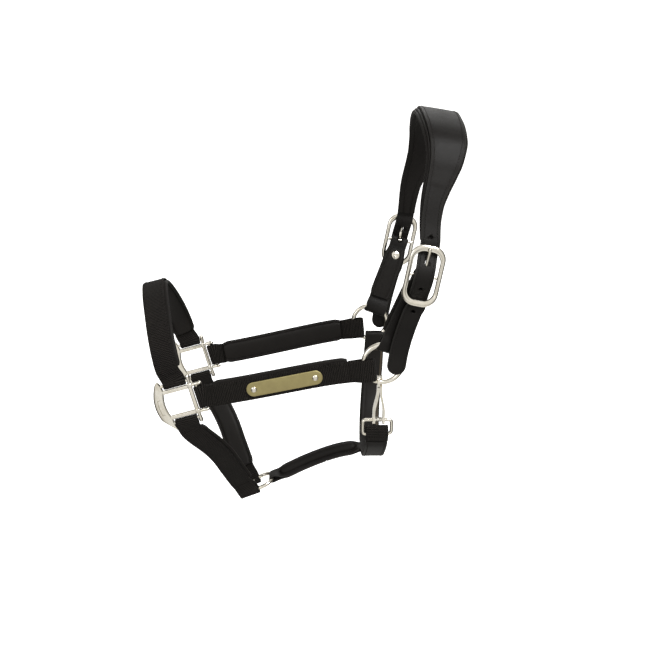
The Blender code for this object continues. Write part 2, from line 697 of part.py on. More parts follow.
def cheek_frames():
    end_reach = FOLD_AT_SQUARE / 2
    rear_bar = square_point(STRAP_BAR_OFFSET, 0)
    start = square_point(STRAP_BAR_OFFSET - end_reach, 0)
    points = [start, rear_bar, square_point(STRAP_BAR_OFFSET + end_reach, 0),
              Vector((-0.2440, -0.0755, -0.2940)), Vector((-0.2050, -0.0770, -0.2872)),
              Vector((-0.1300, -0.0797, -0.2722)), Vector((-0.0990, -0.0813, -0.2672)),
              Vector((-0.0795, JOWL_CENTRE.y, -0.2652)), Vector((-0.0668, JOWL_CENTRE.y, -0.2640))]
    path = [Vector(p) for p in smooth_path([tuple(p) for p in points], 3)]
    return strap_frames(path, rising(radians(104)))


def make_cheek():
    frames = cheek_frames()
    length = path_length([frame[0] for frame in frames])
    ring_reach = 0.0128
    thick = stations(frames, fold_stops(FOLD_AT_SQUARE, WEBBING_THICKNESS, FOLD_AT_SQUARE / 2)
                     + fold_stops(FOLD_AT_JOWL, WEBBING_THICKNESS, ring_reach, True))
    cheek = strap("near_cheek_strap", frames, [WEBBING_WIDTH] * len(frames), thick, webbing())
    lining_frames = part_of(frames, 0.021, length - ring_reach - 0.0175)
    lining = strap("near_cheek_lining", lining_frames, [LINING_WIDTH] * len(lining_frames),
                   [LINING_THICKNESS] * len(lining_frames), soft_leather(),
                   inner_offset(WEBBING_THICKNESS, LINING_THICKNESS), LINING_SHIFT)
    boolean(cheek, [jowl_tunnel(), square_tunnel(square_point(STRAP_BAR_OFFSET, 0), SQUARE_UP)],
            'DIFFERENCE', 'MANIFOLD')
    copy_to_far_side(cheek, "far_cheek_strap")
    copy_to_far_side(lining, "far_cheek_lining")
    make_name_plate(frames, cheek)


def make_name_plate(frames, cheek):
    middle = min(frames, key=lambda frame: abs(frame[0].x + 0.1663))
    index = frames.index(middle)
    along = (frames[index + 1][0] - frames[index - 1][0]).normalized()
    across = middle[1]
    out = along.cross(across)
    lift = WEBBING_THICKNESS / 2 + 0.0008
    centre = middle[0] + out * (lift + PLATE_THICKNESS / 2)
    outline = rounded_rectangle(PLATE_LENGTH, PLATE_HEIGHT, PLATE_HEIGHT / 2 - 0.0001, 8)
    plate = add_object("name_plate", prism(outline, centre, along, across, PLATE_THICKNESS), brass())
    post = 0.0012
    head = PLATE_RIVET_DIAMETER / 2
    holes = []
    for name, side in (("plate_rivet_front", -1), ("plate_rivet_rear", 1)):
        seat = centre + along * (side * PLATE_RIVET_SPACING / 2) + out * (PLATE_THICKNESS / 2 + GAP)
        profile = [(-0.0048, post), (0, post), (0, head), (0.0007, 0.92 * head), (0.0013, 0.62 * head),
                   (0.0015, 0.25 * head)]
        add_object(name, turned(seat, out, profile, 12), nickel(), smooth=True)
        holes.append(tool(rod(seat - out * 0.0060, seat + out * 0.004, 2 * (post + 0.0003))))
    drills = []
    for hole in holes:
        copied = bpy.data.objects.new("tool", hole.data.copy())
        bpy.context.scene.collection.objects.link(copied)
        drills.append(copied)
    boolean(plate, holes, 'DIFFERENCE')
    boolean(cheek, drills, 'DIFFERENCE', 'MANIFOLD')


def make_chin_strap():
    end_reach = FOLD_AT_SQUARE / 2
    low_bar = square_point(0, -STRAP_BAR_OFFSET)
    points = [square_point(0, -STRAP_BAR_OFFSET + end_reach), low_bar,
              square_point(0, -STRAP_BAR_OFFSET - end_reach), square_point(0.0006, -0.0350, -0.0008),
              Vector((-0.2640, -0.0700, -0.3460)), Vector((-0.2510, -0.0610, -0.3620)),
              Vector((-0.2400, -0.0485, -0.3810)), Vector((-0.2305, -0.0355, -0.4040)),
              Vector((-0.2215, -0.0238, -0.4250)), Vector((-0.2140, -0.0158, -0.4385)),
              Vector((-0.2100, -0.0118, -0.4480))]
    path = [Vector(p) for p in smooth_path([tuple(p) for p in points], 3)]
    frames = strap_frames(path, rising(radians(18)))
    length = path_length(path)
    ring_reach = 0.0100
    thick = stations(frames, fold_stops(FOLD_AT_SQUARE, WEBBING_THICKNESS, end_reach)
                     + fold_stops(FOLD_AT_CHIN, WEBBING_THICKNESS, ring_reach, True))
    chin = strap("near_chin_strap", frames, [WEBBING_WIDTH] * len(frames), thick, webbing())
    lining_frames = part_of(frames, 0.021, length - ring_reach - 0.0165)
    lining = strap("near_chin_lining", lining_frames, [LINING_WIDTH - 0.001] * len(lining_frames),
                   [LINING_THICKNESS] * len(lining_frames), soft_leather(),
                   inner_offset(WEBBING_THICKNESS, LINING_THICKNESS), LINING_SHIFT)
    boolean(chin, [chin_tunnel(), square_tunnel(low_bar, SQUARE_RIGHT)], 'DIFFERENCE', 'MANIFOLD')
    copy_to_far_side(chin, "far_chin_strap")
    copy_to_far_side(lining, "far_chin_lining")


# ---------------------------------------------------------------- throat and jaw straps
THROAT_THICKNESS = 0.0044
THROAT_WIDTH = 0.0248


def throat_frames():
    bottom = THROAT_BOTTOM_Z
    points = [Vector((-0.0640, -0.0748, -0.3512)), Vector((-0.0645, -0.0690, -0.3602)),
              Vector((-0.0650, -0.0560, -0.3725)), Vector((-0.0650, -0.0400, -0.3835)),
              Vector((-0.0645, -0.0200, bottom + 0.0018)), Vector((-0.0640, 0, bottom)),
              Vector((-0.0635, 0.0200, bottom + 0.0020)), Vector((-0.0620, 0.0420, -0.3815)),
              Vector((-0.0600, 0.0600, -0.3640)), Vector((-0.0575, 0.0730, -0.3420)),
              Vector((-0.0550, 0.0795, -0.3170)), Vector((-0.0538, -JOWL_CENTRE.y, -0.2950)),
              Vector((-0.0532, -JOWL_CENTRE.y, -0.2775)), Vector((-0.0530, -JOWL_CENTRE.y, -0.2688))]
    path = [Vector(p) for p in smooth_path([tuple(p) for p in points], 3)]
    return strap_frames(path, lambda point: X_AXIS)


def make_throat():
    frames = throat_frames()
    ring_reach = 0.0088
    thick = stations(frames, [(0, THROAT_THICKNESS)]
                     + fold_stops(FOLD_AT_JOWL, THROAT_THICKNESS, ring_reach, True))
    widths = stations(frames, [(0, THROAT_WIDTH), (-0.03, THROAT_WIDTH), (-0.012, THROAT_WIDTH - 0.0015),
                               (-1e-6, THROAT_WIDTH - 0.0020)])
    throat = strap("throat_strap", frames, widths, thick, leather())
    far_ring = jowl_tunnel()
    far_ring.data.transform(Matrix.Translation(-2 * Y_AXIS * JOWL_CENTRE.y))
    boolean(throat, [far_ring], 'DIFFERENCE')
    length = path_length([frame[0] for frame in frames])
    lining_thick = 0.0026
    lining_frames = part_of(frames, 0.128, length - ring_reach - 0.016)
    strap("throat_lining", lining_frames, [THROAT_WIDTH - 0.003] * len(lining_frames),
          [lining_thick] * len(lining_frames), soft_leather(), inner_offset(THROAT_THICKNESS, lining_thick))

    fold_top = LOOP_LOW_BAR + Z_AXIS * (FOLD_AT_LOOP / 2)
    tab_end = frames[0][0] + (frames[0][0] - frames[1][0]).normalized() * 0.0017
    points = [fold_top, LOOP_LOW_BAR, LOOP_LOW_BAR.lerp(tab_end, 0.6), tab_end]
    tab_path = [Vector(p) for p in smooth_path([tuple(p) for p in points], 4)]
    tab_frames = strap_frames(tab_path, lambda point: X_AXIS)
    tab_thick = stations(tab_frames, fold_stops(FOLD_AT_LOOP, 0.0058, FOLD_AT_LOOP / 2))
    tab = strap("throat_tab", tab_frames, [WEBBING_WIDTH] * len(tab_frames), tab_thick, webbing())
    half = LOOP_INNER_WIDTH
    boolean(tab, [tool(rod(LOOP_LOW_BAR - X_AXIS * half, LOOP_LOW_BAR + X_AXIS * half,
                           LOOP_WIRE + 2 * TUNNEL_CLEARANCE))], 'DIFFERENCE')
    return frames


def make_jaw_strap(throat):
    end_reach = FOLD_AT_CHIN / 2 + 0.001
    ring_point = CHIN_CENTRE + CHIN_ALONG * CHIN_RING_RADIUS
    crossing = min((frame[0] for frame in throat), key=lambda place: abs(place.y))
    wall = 0.0048
    half = THROAT_WIDTH / 2 + wall
    points = [ring_point - CHIN_ALONG * end_reach, ring_point, ring_point + CHIN_ALONG * 0.016,
              Vector((-0.1400, 0, -0.4095)), Vector((-0.1080, 0, -0.3975)),
              Vector((crossing.x - half, 0, crossing.z)), Vector((crossing.x, 0, crossing.z)),
              Vector((crossing.x + half, 0, crossing.z))]
    path = [Vector(p) for p in smooth_path([tuple(p) for p in points], 4)]
    frames = strap_frames(path, lambda point: Y_AXIS)
    loop_thick = THROAT_THICKNESS + 0.0070
    thick = stations(frames, fold_stops(FOLD_AT_CHIN + 0.001, JAW_THICKNESS, end_reach)
                     + [(-2 * half - 0.006, JAW_THICKNESS), (-2 * half, loop_thick), (-0.004, loop_thick),
                        (-1e-6, 0.6 * loop_thick)])
    jaw = strap("jaw_strap", frames, [JAW_WIDTH] * len(frames), thick, leather())
    tunnel = strap("tool", throat[3:-6], [THROAT_WIDTH + 0.0012] * len(throat[3:-6]),
                   [THROAT_THICKNESS + 0.0012] * len(throat[3:-6]), nickel())
    boolean(jaw, [chin_tunnel(), tunnel], 'DIFFERENCE')


# ---------------------------------------------------------------- throat snap
def make_snap_loop():
    centre = (LOOP_LOW_BAR + LOOP_TOP_BAR) / 2
    outline = rounded_rectangle(LOOP_INNER_WIDTH + LOOP_WIRE, LOOP_HEIGHT, 0.0030, 4)
    sections = []
    count = len(outline)
    for index, (u, v) in enumerate(outline):
        before = outline[index - 1]
        after = outline[(index + 1) % count]
        along = Vector((after[0] - before[0], after[1] - before[1])).normalized()
        side = X_AXIS * along.y - Z_AXIS * along.x
        place = centre + X_AXIS * u + Z_AXIS * v
        sections.append([place + (side * cos(2 * pi * j / 10) + Y_AXIS * sin(2 * pi * j / 10)) * LOOP_WIRE / 2
                         for j in range(10)])
    add_object("snap_loop", closed_loft(sections), nickel(), LOOP_LOW_BAR, True)


SNAP_CENTRE_X = -0.0625
SNAP_PIVOT = Vector((SNAP_CENTRE_X, LOOP_TOP_BAR.y, LOOP_TOP_BAR.z))
SNAP_WIRE_POINT = Vector((SNAP_CENTRE_X, JOWL_CENTRE.y, JOWL_CENTRE.z
                          - sqrt(JOWL_RING_RADIUS ** 2 - (SNAP_CENTRE_X - JOWL_CENTRE.x) ** 2)))
SNAP_BASE_SPREAD = 0.0052
SNAP_HOOK_ROOM = 0.0012


def snap_outline():
    """Hook plate seen from the side: (out, up), open towards +out, its eye on the pivot at 0, 0."""
    reach = (SNAP_WIRE_POINT - SNAP_PIVOT).length
    inner = JOWL_WIRE / 2 + SNAP_HOOK_ROOM
    outer = inner + 0.0036
    half = SNAP_LEG_WIDTH / 2
    eye = 0.0050
    points = []
    for step in range(9):
        angle = radians(150 + 30 * step)
        points.append((eye * cos(angle), eye * sin(angle)))
    rungs = 6
    leg_top = reach - inner - 0.006
    for rung in range(rungs + 1):
        points.append((half * (0.92 - 0.12 * rung / rungs), eye + (leg_top - eye) * rung / rungs))
    points.append((0.75 * half, reach - inner - 0.0014))
    for angle in (268, 240, 212, 184, 156, 128, 100, 66):
        points.append((inner * cos(radians(angle)), reach + inner * sin(radians(angle))))
    for angle in (62, 90, 118, 146, 174, 202, 224):
        points.append((outer * cos(radians(angle)), reach + outer * sin(radians(angle))))
    for rung in range(rungs, -1, -1):
        points.append((-half * (0.92 - 0.12 * rung / rungs), eye + (leg_top - eye) * rung / rungs))
    return points


def make_snap():
    up = (SNAP_WIRE_POINT - SNAP_PIVOT).normalized()
    for name, side in (("snap_jaw_front", -1), ("snap_jaw_rear", 1)):
        facing = X_AXIS.cross(up) * side
        bm = prism(snap_outline(), SNAP_PIVOT + X_AXIS * side * (SNAP_PLATE / 2 + 0.0002), facing, up,
                   SNAP_PLATE)
        for rung in range(1, 9):
            everything = bm.verts[:] + bm.edges[:] + bm.faces[:]
            bmesh.ops.bisect_plane(bm, geom=everything, plane_co=SNAP_PIVOT + up * (0.0045 * rung + 0.003),
                                   plane_no=up)
        for vert in bm.verts:
            height = (vert.co - SNAP_PIVOT).dot(up)
            share = min(max((0.036 - height) / 0.026, 0.0), 1.0)
            vert.co.x += side * (SNAP_BASE_SPREAD - SNAP_PLATE / 2) * share * share * (3 - 2 * share)
        jaw = add_object(name, bm, nickel())
        hole = tool(rod(SNAP_PIVOT - X_AXIS * 0.015, SNAP_PIVOT + X_AXIS * 0.015, LOOP_WIRE + 0.0008, 16))
        boolean(jaw, [hole], 'DIFFERENCE', 'MANIFOLD')
        jaw.data.transform(Matrix.Translation(-SNAP_PIVOT))
        jaw.location = SNAP_PIVOT
    half = SNAP_BASE_SPREAD - SNAP_PLATE / 2 - 0.0008
    turns = 3.5
    steps = 28
    wire = 0.0009
    radius = LOOP_WIRE / 2 + 0.0004 + wire / 2 + 0.0002
    sections = []
    for step in range(steps + 1):
        turn = 2 * pi * turns * step / steps
        spoke = Y_AXIS * cos(turn) + Z_AXIS * sin(turn)
        place = SNAP_PIVOT + X_AXIS * (half * (2 * step / steps - 1)) + spoke * radius
        sections.append([place + (spoke * cos(2 * pi * j / 5) + X_AXIS * sin(2 * pi * j / 5)) * wire / 2
                         for j in range(5)])
    add_object("snap_spring", loft(sections), nickel(), SNAP_PIVOT, True)


# ---------------------------------------------------------------- build
def main():
    for existing in list(bpy.data.objects):
        bpy.data.objects.remove(existing)
    make_crown()
    make_buckle()
    make_billet()
    make_rings()
    make_square()
    make_noseband()
    make_cheek()
    make_chin_strap()
    throat = make_throat()
    make_jaw_strap(throat)
    make_snap_loop()
    make_snap()


main()
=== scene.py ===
# %% [markdown]
# A leather headcollar is a set of straps joined by metal fittings: a padded crown over the poll, billets
# down to two rings, cheek straps to two squares, a noseband, a chin strap to a lead ring, and a throat
# strap closed by a snap.  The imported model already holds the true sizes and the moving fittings.  This
# lesson dresses it: each strap is laid again as real folded webbing or leather, with stitching, padding
# and a finish, and each fitting is cast again with round edges.

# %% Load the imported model
import bpy
import bmesh
from math import cos, pi, radians, sin, sqrt
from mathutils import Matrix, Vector


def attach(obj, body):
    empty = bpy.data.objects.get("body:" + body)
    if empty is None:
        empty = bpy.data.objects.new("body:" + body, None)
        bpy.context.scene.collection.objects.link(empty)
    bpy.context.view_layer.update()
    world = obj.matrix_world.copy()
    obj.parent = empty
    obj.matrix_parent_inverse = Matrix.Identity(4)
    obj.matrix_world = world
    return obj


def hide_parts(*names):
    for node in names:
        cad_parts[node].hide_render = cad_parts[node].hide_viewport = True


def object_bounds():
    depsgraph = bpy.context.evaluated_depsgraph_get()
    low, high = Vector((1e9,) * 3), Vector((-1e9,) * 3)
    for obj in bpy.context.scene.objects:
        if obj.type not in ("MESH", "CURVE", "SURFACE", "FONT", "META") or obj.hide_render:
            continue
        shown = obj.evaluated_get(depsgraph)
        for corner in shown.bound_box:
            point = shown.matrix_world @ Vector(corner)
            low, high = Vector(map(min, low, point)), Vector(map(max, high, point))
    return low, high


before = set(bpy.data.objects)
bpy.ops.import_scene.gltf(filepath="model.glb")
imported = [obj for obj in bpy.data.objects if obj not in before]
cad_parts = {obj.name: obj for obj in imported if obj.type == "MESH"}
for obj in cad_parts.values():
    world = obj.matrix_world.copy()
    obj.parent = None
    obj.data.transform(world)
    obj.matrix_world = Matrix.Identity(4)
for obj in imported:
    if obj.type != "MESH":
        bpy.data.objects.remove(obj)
cad_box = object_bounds()
print("box:", [[round(v, 4) for v in corner] for corner in cad_box])

# %% [markdown]
# A finish is a small tree of shader nodes.  Writing sums as ordinary Python keeps it readable, so one
# class wraps a socket and turns + - * / into Math nodes.  A second class holds the material and adds any
# other node.

# %% Socket sums
def rule(operation, swapped=False):
    """A method of Sum that adds one Math node."""
    def method(self, other=0.0):
        terms = [other, self] if swapped else [self, other]
        return self.finish.node("ShaderNodeMath", {"operation": operation}, terms)
    return method


class Sum:
    """A number that varies over the surface."""

    def __init__(self, finish, socket):
        self.finish = finish
        self.socket = socket

    __add__ = rule("ADD")
    __radd__ = rule("ADD", swapped=True)
    __sub__ = rule("SUBTRACT")
    __rsub__ = rule("SUBTRACT", swapped=True)
    __mul__ = rule("MULTIPLY")
    __rmul__ = rule("MULTIPLY", swapped=True)
    __truediv__ = rule("DIVIDE")
    __pow__ = rule("POWER")
    part = rule("FRACT")
    floor = rule("FLOOR")
    size = rule("ABSOLUTE")
    top = rule("MAXIMUM")
    bottom = rule("MINIMUM")

    def clip(self):
        return self.top(0.0).bottom(1.0)


# %% The finish being mixed
class Finish:
    """A material and the nodes added to it; with a tree of its own it only does sums in that tree."""

    def __init__(self, name, tree=None, **constants):
        self.tree = tree
        if tree:
            return
        self.material = bpy.data.materials.new(name)
        self.material.use_nodes = True
        self.tree = self.material.node_tree
        self.shader = self.tree.nodes["Principled BSDF"]
        for socket, value in constants.items():
            self.shader.inputs[socket.replace("_", " ")].default_value = value

    def node(self, kind, settings, sockets, output=0):
        made = self.tree.nodes.new(kind)
        for key, value in settings.items():
            if key == "stops":
                ramp = made.color_ramp.elements
                for place, stop in enumerate(value):
                    spot = ramp[place] if place < 2 else ramp.new(stop[0])
                    spot.position = stop[0]
                    spot.color = (*stop[1], 1.0)
            else:
                setattr(made, key, value)
        listed = sockets.items() if isinstance(sockets, dict) else enumerate(sockets)
        for key, value in listed:
            if isinstance(value, Sum):
                self.tree.links.new(value.socket, made.inputs[key])
            else:
                made.inputs[key].default_value = value
        return Sum(self, made.outputs[output])

    def set(self, socket, value):
        self.tree.links.new(value.socket, self.shader.inputs[socket])

    def xyz(self, vector):
        split = self.node("ShaderNodeSeparateXYZ", {}, [vector])
        return [Sum(self, socket) for socket in split.socket.node.outputs]

    def lay(self):
        """Place on the strap in millimetres: across it and along it."""
        return self.xyz(self.node("ShaderNodeUVMap", {"uv_map": "lay"}, {}))[:2]

    def point(self):
        return self.node("ShaderNodeTexCoord", {}, {}, 3)

    def noise(self, scale, detail=3.0, roughness=0.55, where=None):
        return self.node("ShaderNodeTexNoise", {}, {
            "Vector": where or self.point(), "Scale": scale, "Detail": detail, "Roughness": roughness})

    def mix(self, amount, first, second):
        """Colour between two colours."""
        return self.node("ShaderNodeMix", {"data_type": "RGBA"}, {0: amount, 6: (*first, 1.0), 7: (*second, 1.0)}, 2)

    def bump(self, height, depth, strength=1.0):
        raised = self.node("ShaderNodeBump", {}, {"Strength": strength, "Distance": depth, "Height": height})
        self.set("Normal", raised)


# %% [markdown]
# Webbing is woven with a heavy rib across the strap, held by warp cords that run its length.  Each rib
# shows as a soft ridge and each cord as a small step in it, staggered from cord to cord.  The pattern is
# worked out from the place on the strap, in millimetres, so it follows every bend and fold.

# %% Woven webbing
RIB = 1.9
CORD = 1.5


def woven(name, dark, light):
    cloth = Finish(name, Specular_IOR_Level=0.10, Sheen_Weight=0.02, Sheen_Roughness=0.4)
    across, along = cloth.lay()
    column = across / CORD
    stagger = (column.floor() * 0.5).part()
    cord_rise = 1.0 - ((column.part() - 0.5) * 2.0).size() ** 3.0
    rib_rise = 1.0 - (((along / RIB + stagger * 0.35).part() - 0.5) * 2.0).size() ** 1.8
    weave = (rib_rise * (0.62 + 0.38 * cord_rise)).clip()
    fuzz = cloth.noise(900.0, 2.0)
    wear = cloth.noise(38.0, 3.0)
    # The colour follows the weave height: rib tops lighter and grooves darker, a painted highlight and painted
    # shade; fuzz and wear vary it at random.
    tone = (weave * 1.15 + fuzz * 0.25 - 0.40 + (wear - 0.5) * 0.4).clip()
    cloth.set("Base Color", cloth.mix(tone, dark, light))
    cloth.set("Roughness", (0.92 - 0.16 * weave + 0.1 * (wear - 0.5)).clip())
    cloth.bump(weave + 0.15 * fuzz, 0.00090, 1.0)
    return cloth.material


webbing = woven("black_webbing_weave", (0.0006, 0.0005, 0.0005), (0.0260, 0.0230, 0.0203))
print("finish:", webbing.name, "rib and cord in mm:", RIB, CORD)

# %% [markdown]
# Smooth harness leather has a very fine pebbled grain, broad soft creases, and a wax finish that is a
# little uneven.  Small cells from a Voronoi texture make the pebbles, and two sizes of noise make the
# creases and the uneven shine.  The lining leather is the same skin left softer and duller.

# %% Leather
def leather_finish(name, dark, light, shine, grain, depth):
    """Shine is the middle roughness, grain the number of pebbles in a metre, depth the bump in metres."""
    hide = Finish(name, Specular_IOR_Level=0.15)
    pebbles = hide.node("ShaderNodeTexVoronoi", {"feature": "SMOOTH_F1"}, {"Vector": hide.point(), "Scale": grain})
    pores = hide.noise(grain * 1.9, 2.0)
    creases = hide.noise(120.0, 4.0, 0.62)
    cloud = hide.noise(26.0, 3.0)
    tone = (0.35 + 0.9 * (cloud - 0.5) + 0.35 * pebbles).clip()
    hide.set("Base Color", hide.mix(tone, dark, light))
    hide.set("Roughness", (shine + 0.22 * (cloud - 0.5) + 0.14 * pebbles + 0.08 * (pores - 0.5)).clip())
    hide.bump(pebbles * 0.6 + pores * 0.35 + creases * 0.9, depth, 0.6)
    return hide.material


strap_leather = leather_finish("black_strap_leather", (0.0036, 0.0031, 0.0028), (0.0094, 0.0082, 0.0074),
                               0.46, 1150.0, 0.00022)
lining_leather = leather_finish("black_soft_leather", (0.0044, 0.0038, 0.0034), (0.0125, 0.0108, 0.0096),
                                0.50, 800.0, 0.00034)
# A lighter colour for the straps' cut ends and upper corners: edge paint, and on the corners a painted highlight.
edge_paint_and_highlight = leather_finish("edge_paint_and_painted_highlight", (0.010, 0.0095, 0.009), (0.026, 0.024, 0.022), 0.42, 1700.0, 0.00012)
# A tan colour for one rolled edge of the throat lining: a painted highlight.
tan_highlight_finish = leather_finish("painted_tan_highlight", (0.030, 0.024, 0.017), (0.075, 0.058, 0.040), 0.6, 900.0, 0.0003)
print("leathers:", [made.name for made in (strap_leather, lining_leather, edge_paint_and_highlight, tan_highlight_finish)])

# %% [markdown]
# Thread is a twisted cord.  Seen close, the twist is a slanting ridge along each stitch, so the bump
# runs on the sum of the two strap directions.

# %% Thread and holes
def thread_finish():
    thread = Finish("waxed_black_thread", Roughness=0.7, Specular_IOR_Level=0.12)
    across, along = thread.lay()
    twist = 1.0 - (((along * 1.6 + across * 1.3).part() - 0.5) * 2.0).size()
    # The colour follows the twist: ridges lighter than the hollows, a painted highlight along the thread.
    thread.set("Base Color", thread.mix(twist, (0.0040, 0.0036, 0.0032), (0.0200, 0.0180, 0.0160)))
    thread.bump(twist, 0.0001, 0.6)
    return thread.material


def hole_shade_finish():
    dark = Finish("punched_hole_shade", Roughness=0.9)
    # The hole walls are near black, darker than the leather: painted shade inside the punched holes.
    dark.set("Base Color", dark.mix(dark.noise(1500.0), (0.0008, 0.0008, 0.0008), (0.003, 0.0028, 0.0026)))
    return dark.material


thread = thread_finish()
hole_painted_shade = hole_shade_finish()
print("finish:", thread.name, hole_painted_shade.name)

# %% [markdown]
# The fittings are cast, nickel plated and polished.  Plating is never perfectly even: it carries faint
# wiping marks, a few hairline scratches and slightly warmer, duller patches where hands don't rub.  The
# name plate is brass left to dull, brushed along its length.

# %% Metals
def plated(name, bright, dull, low, high, grain=260.0):
    metal = Finish(name, Metallic=1.0)
    hand = metal.noise(95.0, 4.0, 0.6)
    fine = metal.noise(grain * 6.0, 2.0)
    stretched = metal.node("ShaderNodeMapping", {}, {"Vector": metal.point(), "Rotation": (0.4, 0.9, 0.3),
                                                     "Scale": (1.0, 26.0, 9.0)})
    marks = metal.noise(grain, 2.0, 0.5, stretched)
    metal.set("Base Color", metal.mix(((hand - 0.38) * 2.1).clip(), bright, dull))
    metal.set("Roughness", (low + (high - low) * (hand * 0.6 + marks * 0.5) + 0.03 * (fine - 0.5)).clip())
    metal.bump(marks * 0.5 + fine * 0.3, 0.00003, 0.35)
    return metal.material


nickel = plated("bright_nickel_plate", (0.83, 0.80, 0.73), (0.62, 0.57, 0.46), 0.07, 0.26)
steel = plated("turned_steel", (0.62, 0.61, 0.58), (0.44, 0.42, 0.38), 0.18, 0.42)


def brushed_brass():
    brass = Finish("aged_brass_plate", Metallic=1.0)
    across, along = brass.lay()
    strokes = brass.node("ShaderNodeCombineXYZ", {}, [across * 7.0, along * 0.16, 0.0])
    lines = brass.noise(1.0, 4.0, 0.7, strokes)
    patina = brass.noise(70.0, 5.0, 0.62)
    brass.set("Base Color", brass.mix(((patina - 0.35) * 1.9).clip(), (0.40, 0.345, 0.165), (0.27, 0.225, 0.105)))
    brass.set("Metallic", (1.0 - 0.35 * ((patina - 0.45) * 2.5).clip()).clip())
    brass.set("Roughness", (0.38 + 0.22 * lines + 0.14 * (patina - 0.5)).clip())
    brass.bump(lines, 0.00006, 0.5)
    return brass.material


brass = brushed_brass()
print("metals:", nickel.name, steel.name, brass.name)

# %% [markdown]
# Every strap follows a route: a smooth line with a direction across it.  The line is a Catmull-Rom curve
# through a few points, which passes through each of them and bends gently between.  Away from the line
# runs the outward direction, which is along crossed with across.

# %% Routes
UP = Vector((0, 0, 1))
SIDE = Vector((0, 1, 0))
FORE = Vector((1, 0, 0))


def smooth(points, steps=10):
    ends = [[2 * a - b for a, b in zip(points[0], points[1])], *points,
            [2 * a - b for a, b in zip(points[-1], points[-2])]]
    line = []
    for before, start, end, after in zip(ends, ends[1:], ends[2:], ends[3:]):
        for step in range(steps):
            t = step / steps
            line.append([0.5 * (2 * b + (c - a) * t + (2 * a - 5 * b + 4 * c - d) * t * t
                                + (3 * b - a - 3 * c + d) * t ** 3)
                         for a, b, c, d in zip(before, start, end, after)])
    line.append(list(points[-1]))
    return line


def rising(angle):
    return Vector((cos(radians(angle)), 0, sin(radians(angle))))


class Route:
    """The middle of a strap, measured in metres along it."""

    def __init__(self, points, hint):
        line = smooth([tuple(p) for p in points])
        self.line = [Vector(p[:3]) for p in line]
        self.extra = [p[3] if len(p) > 3 else 0.0 for p in line]
        self.hint = hint
        self.run = [0.0]
        for a, b in zip(self.line, self.line[1:]):
            self.run.append(self.run[-1] + (b - a).length)
        self.length = self.run[-1]
        count = len(self.line)
        self.way = [(self.line[min(i + 1, count - 1)] - self.line[max(i - 1, 0)]).normalized()
                    for i in range(count)]

    def at(self, distance):
        """Place, along, across, outward and the carried value at a distance; it runs on straight past its ends."""
        i = 0
        while i < len(self.run) - 2 and self.run[i + 1] < distance:
            i += 1
        share = (distance - self.run[i]) / (self.run[i + 1] - self.run[i])
        held = min(max(share, 0.0), 1.0)
        along = self.way[i].lerp(self.way[i + 1], held).normalized()
        place = self.line[i].lerp(self.line[i + 1], held) + along * (distance - self.run[i] - held * (
            self.run[i + 1] - self.run[i]))
        across = (self.hint - along * self.hint.dot(along)).normalized()
        value = self.extra[i] + (self.extra[i + 1] - self.extra[i]) * held
        return place, along, across, along.cross(across), value

    def spots(self, start, end, pitch=0.002):
        count = max(2, round((end - start) / pitch))
        return [start + (end - start) * step / count for step in range(count + 1)]

    def frames(self, start, end, lift=0.0, shift=0.0, pitch=0.002):
        """(place, across, outward, distance) at even steps."""
        made = []
        for distance in self.spots(start, end, pitch):
            place, along, across, out, _ = self.at(distance)
            made.append((place + out * lift + across * shift, across, out, distance))
        return made


# %% [markdown]
# A strap's shape is a flat outline carried along its route.  Each copy of the outline is joined to the
# next, and every corner also remembers its place in millimetres, across and along, in a UV map called
# "lay".  The weave and the brushed lines read that map.

# %% Joining outlines into a piece
# Faces of a strap outline's upper rounded corners; they take the lighter edge finish, a painted highlight along the
# top edges.
HIGHLIGHT_CORNERS = (0, 1, 2, 8, 9, 10)


def placed(name, data):
    made = bpy.data.objects.new(name, data)
    bpy.context.scene.collection.objects.link(made)
    return made


def meshed(name, shape, *materials):
    mesh = bpy.data.meshes.new(name)
    shape.to_mesh(mesh)
    shape.free()
    for material in materials:
        mesh.materials.append(material)
    return mesh


def skin(name, rings, finish, marks=None, runs=None, looped=False, crease=40, edges=(), edge_finish=None):
    shape = bmesh.new()
    lay = shape.loops.layers.uv.new("lay")
    rows = [[shape.verts.new(point) for point in ring] for ring in rings]
    count = len(rows[0])
    marks = marks or [0.0] * count
    runs = runs or [0.0] * len(rows)
    pairs = list(zip(range(len(rows) - 1), range(1, len(rows))))
    if looped:
        pairs.append((len(rows) - 1, 0))
    for first, second in pairs:
        for j in range(count):
            k = (j + 1) % count
            face = shape.faces.new((rows[first][j], rows[first][k], rows[second][k], rows[second][j]))
            if j in edges:
                face.material_index = 1
            for loop, spot in zip(face.loops, ((j, first), (k, first), (k, second), (j, second))):
                loop[lay].uv = (marks[spot[0]], runs[spot[1]])
    if not looped:
        for row, run in ((rows[0][::-1], runs[0]), (rows[-1], runs[-1])):
            face = shape.faces.new(row)
            face.material_index = 1 if edge_finish else 0
            for loop in face.loops:
                loop[lay].uv = (0.0, run)
    bmesh.ops.recalc_face_normals(shape, faces=shape.faces[:])
    mesh = meshed(name, shape, *[material for material in (finish, edge_finish) if material])
    mesh.shade_smooth()
    mesh.set_sharp_from_angle(angle=radians(crease))
    return placed(name, mesh)


def mirrored(piece, name):
    mesh = piece.data.copy()
    for vert in mesh.vertices:
        vert.co.y = -vert.co.y
    mesh.flip_normals()
    return placed(name, mesh)


def far_name(name):
    return name.replace("near_", "far_")


def settle(piece, body, slot, *nodes, fill=None, both=False):
    """Give a piece its body and the solids it stands for, and a twin on the far side if asked; its slot is not used.
    """
    twin = mirrored(piece, far_name(piece.name)) if both else None
    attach(piece, body)
    if nodes:
        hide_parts(*nodes)
    if twin:
        settle(twin, far_name(body), slot, *[far_name(node) for node in nodes], fill=fill)
    return piece


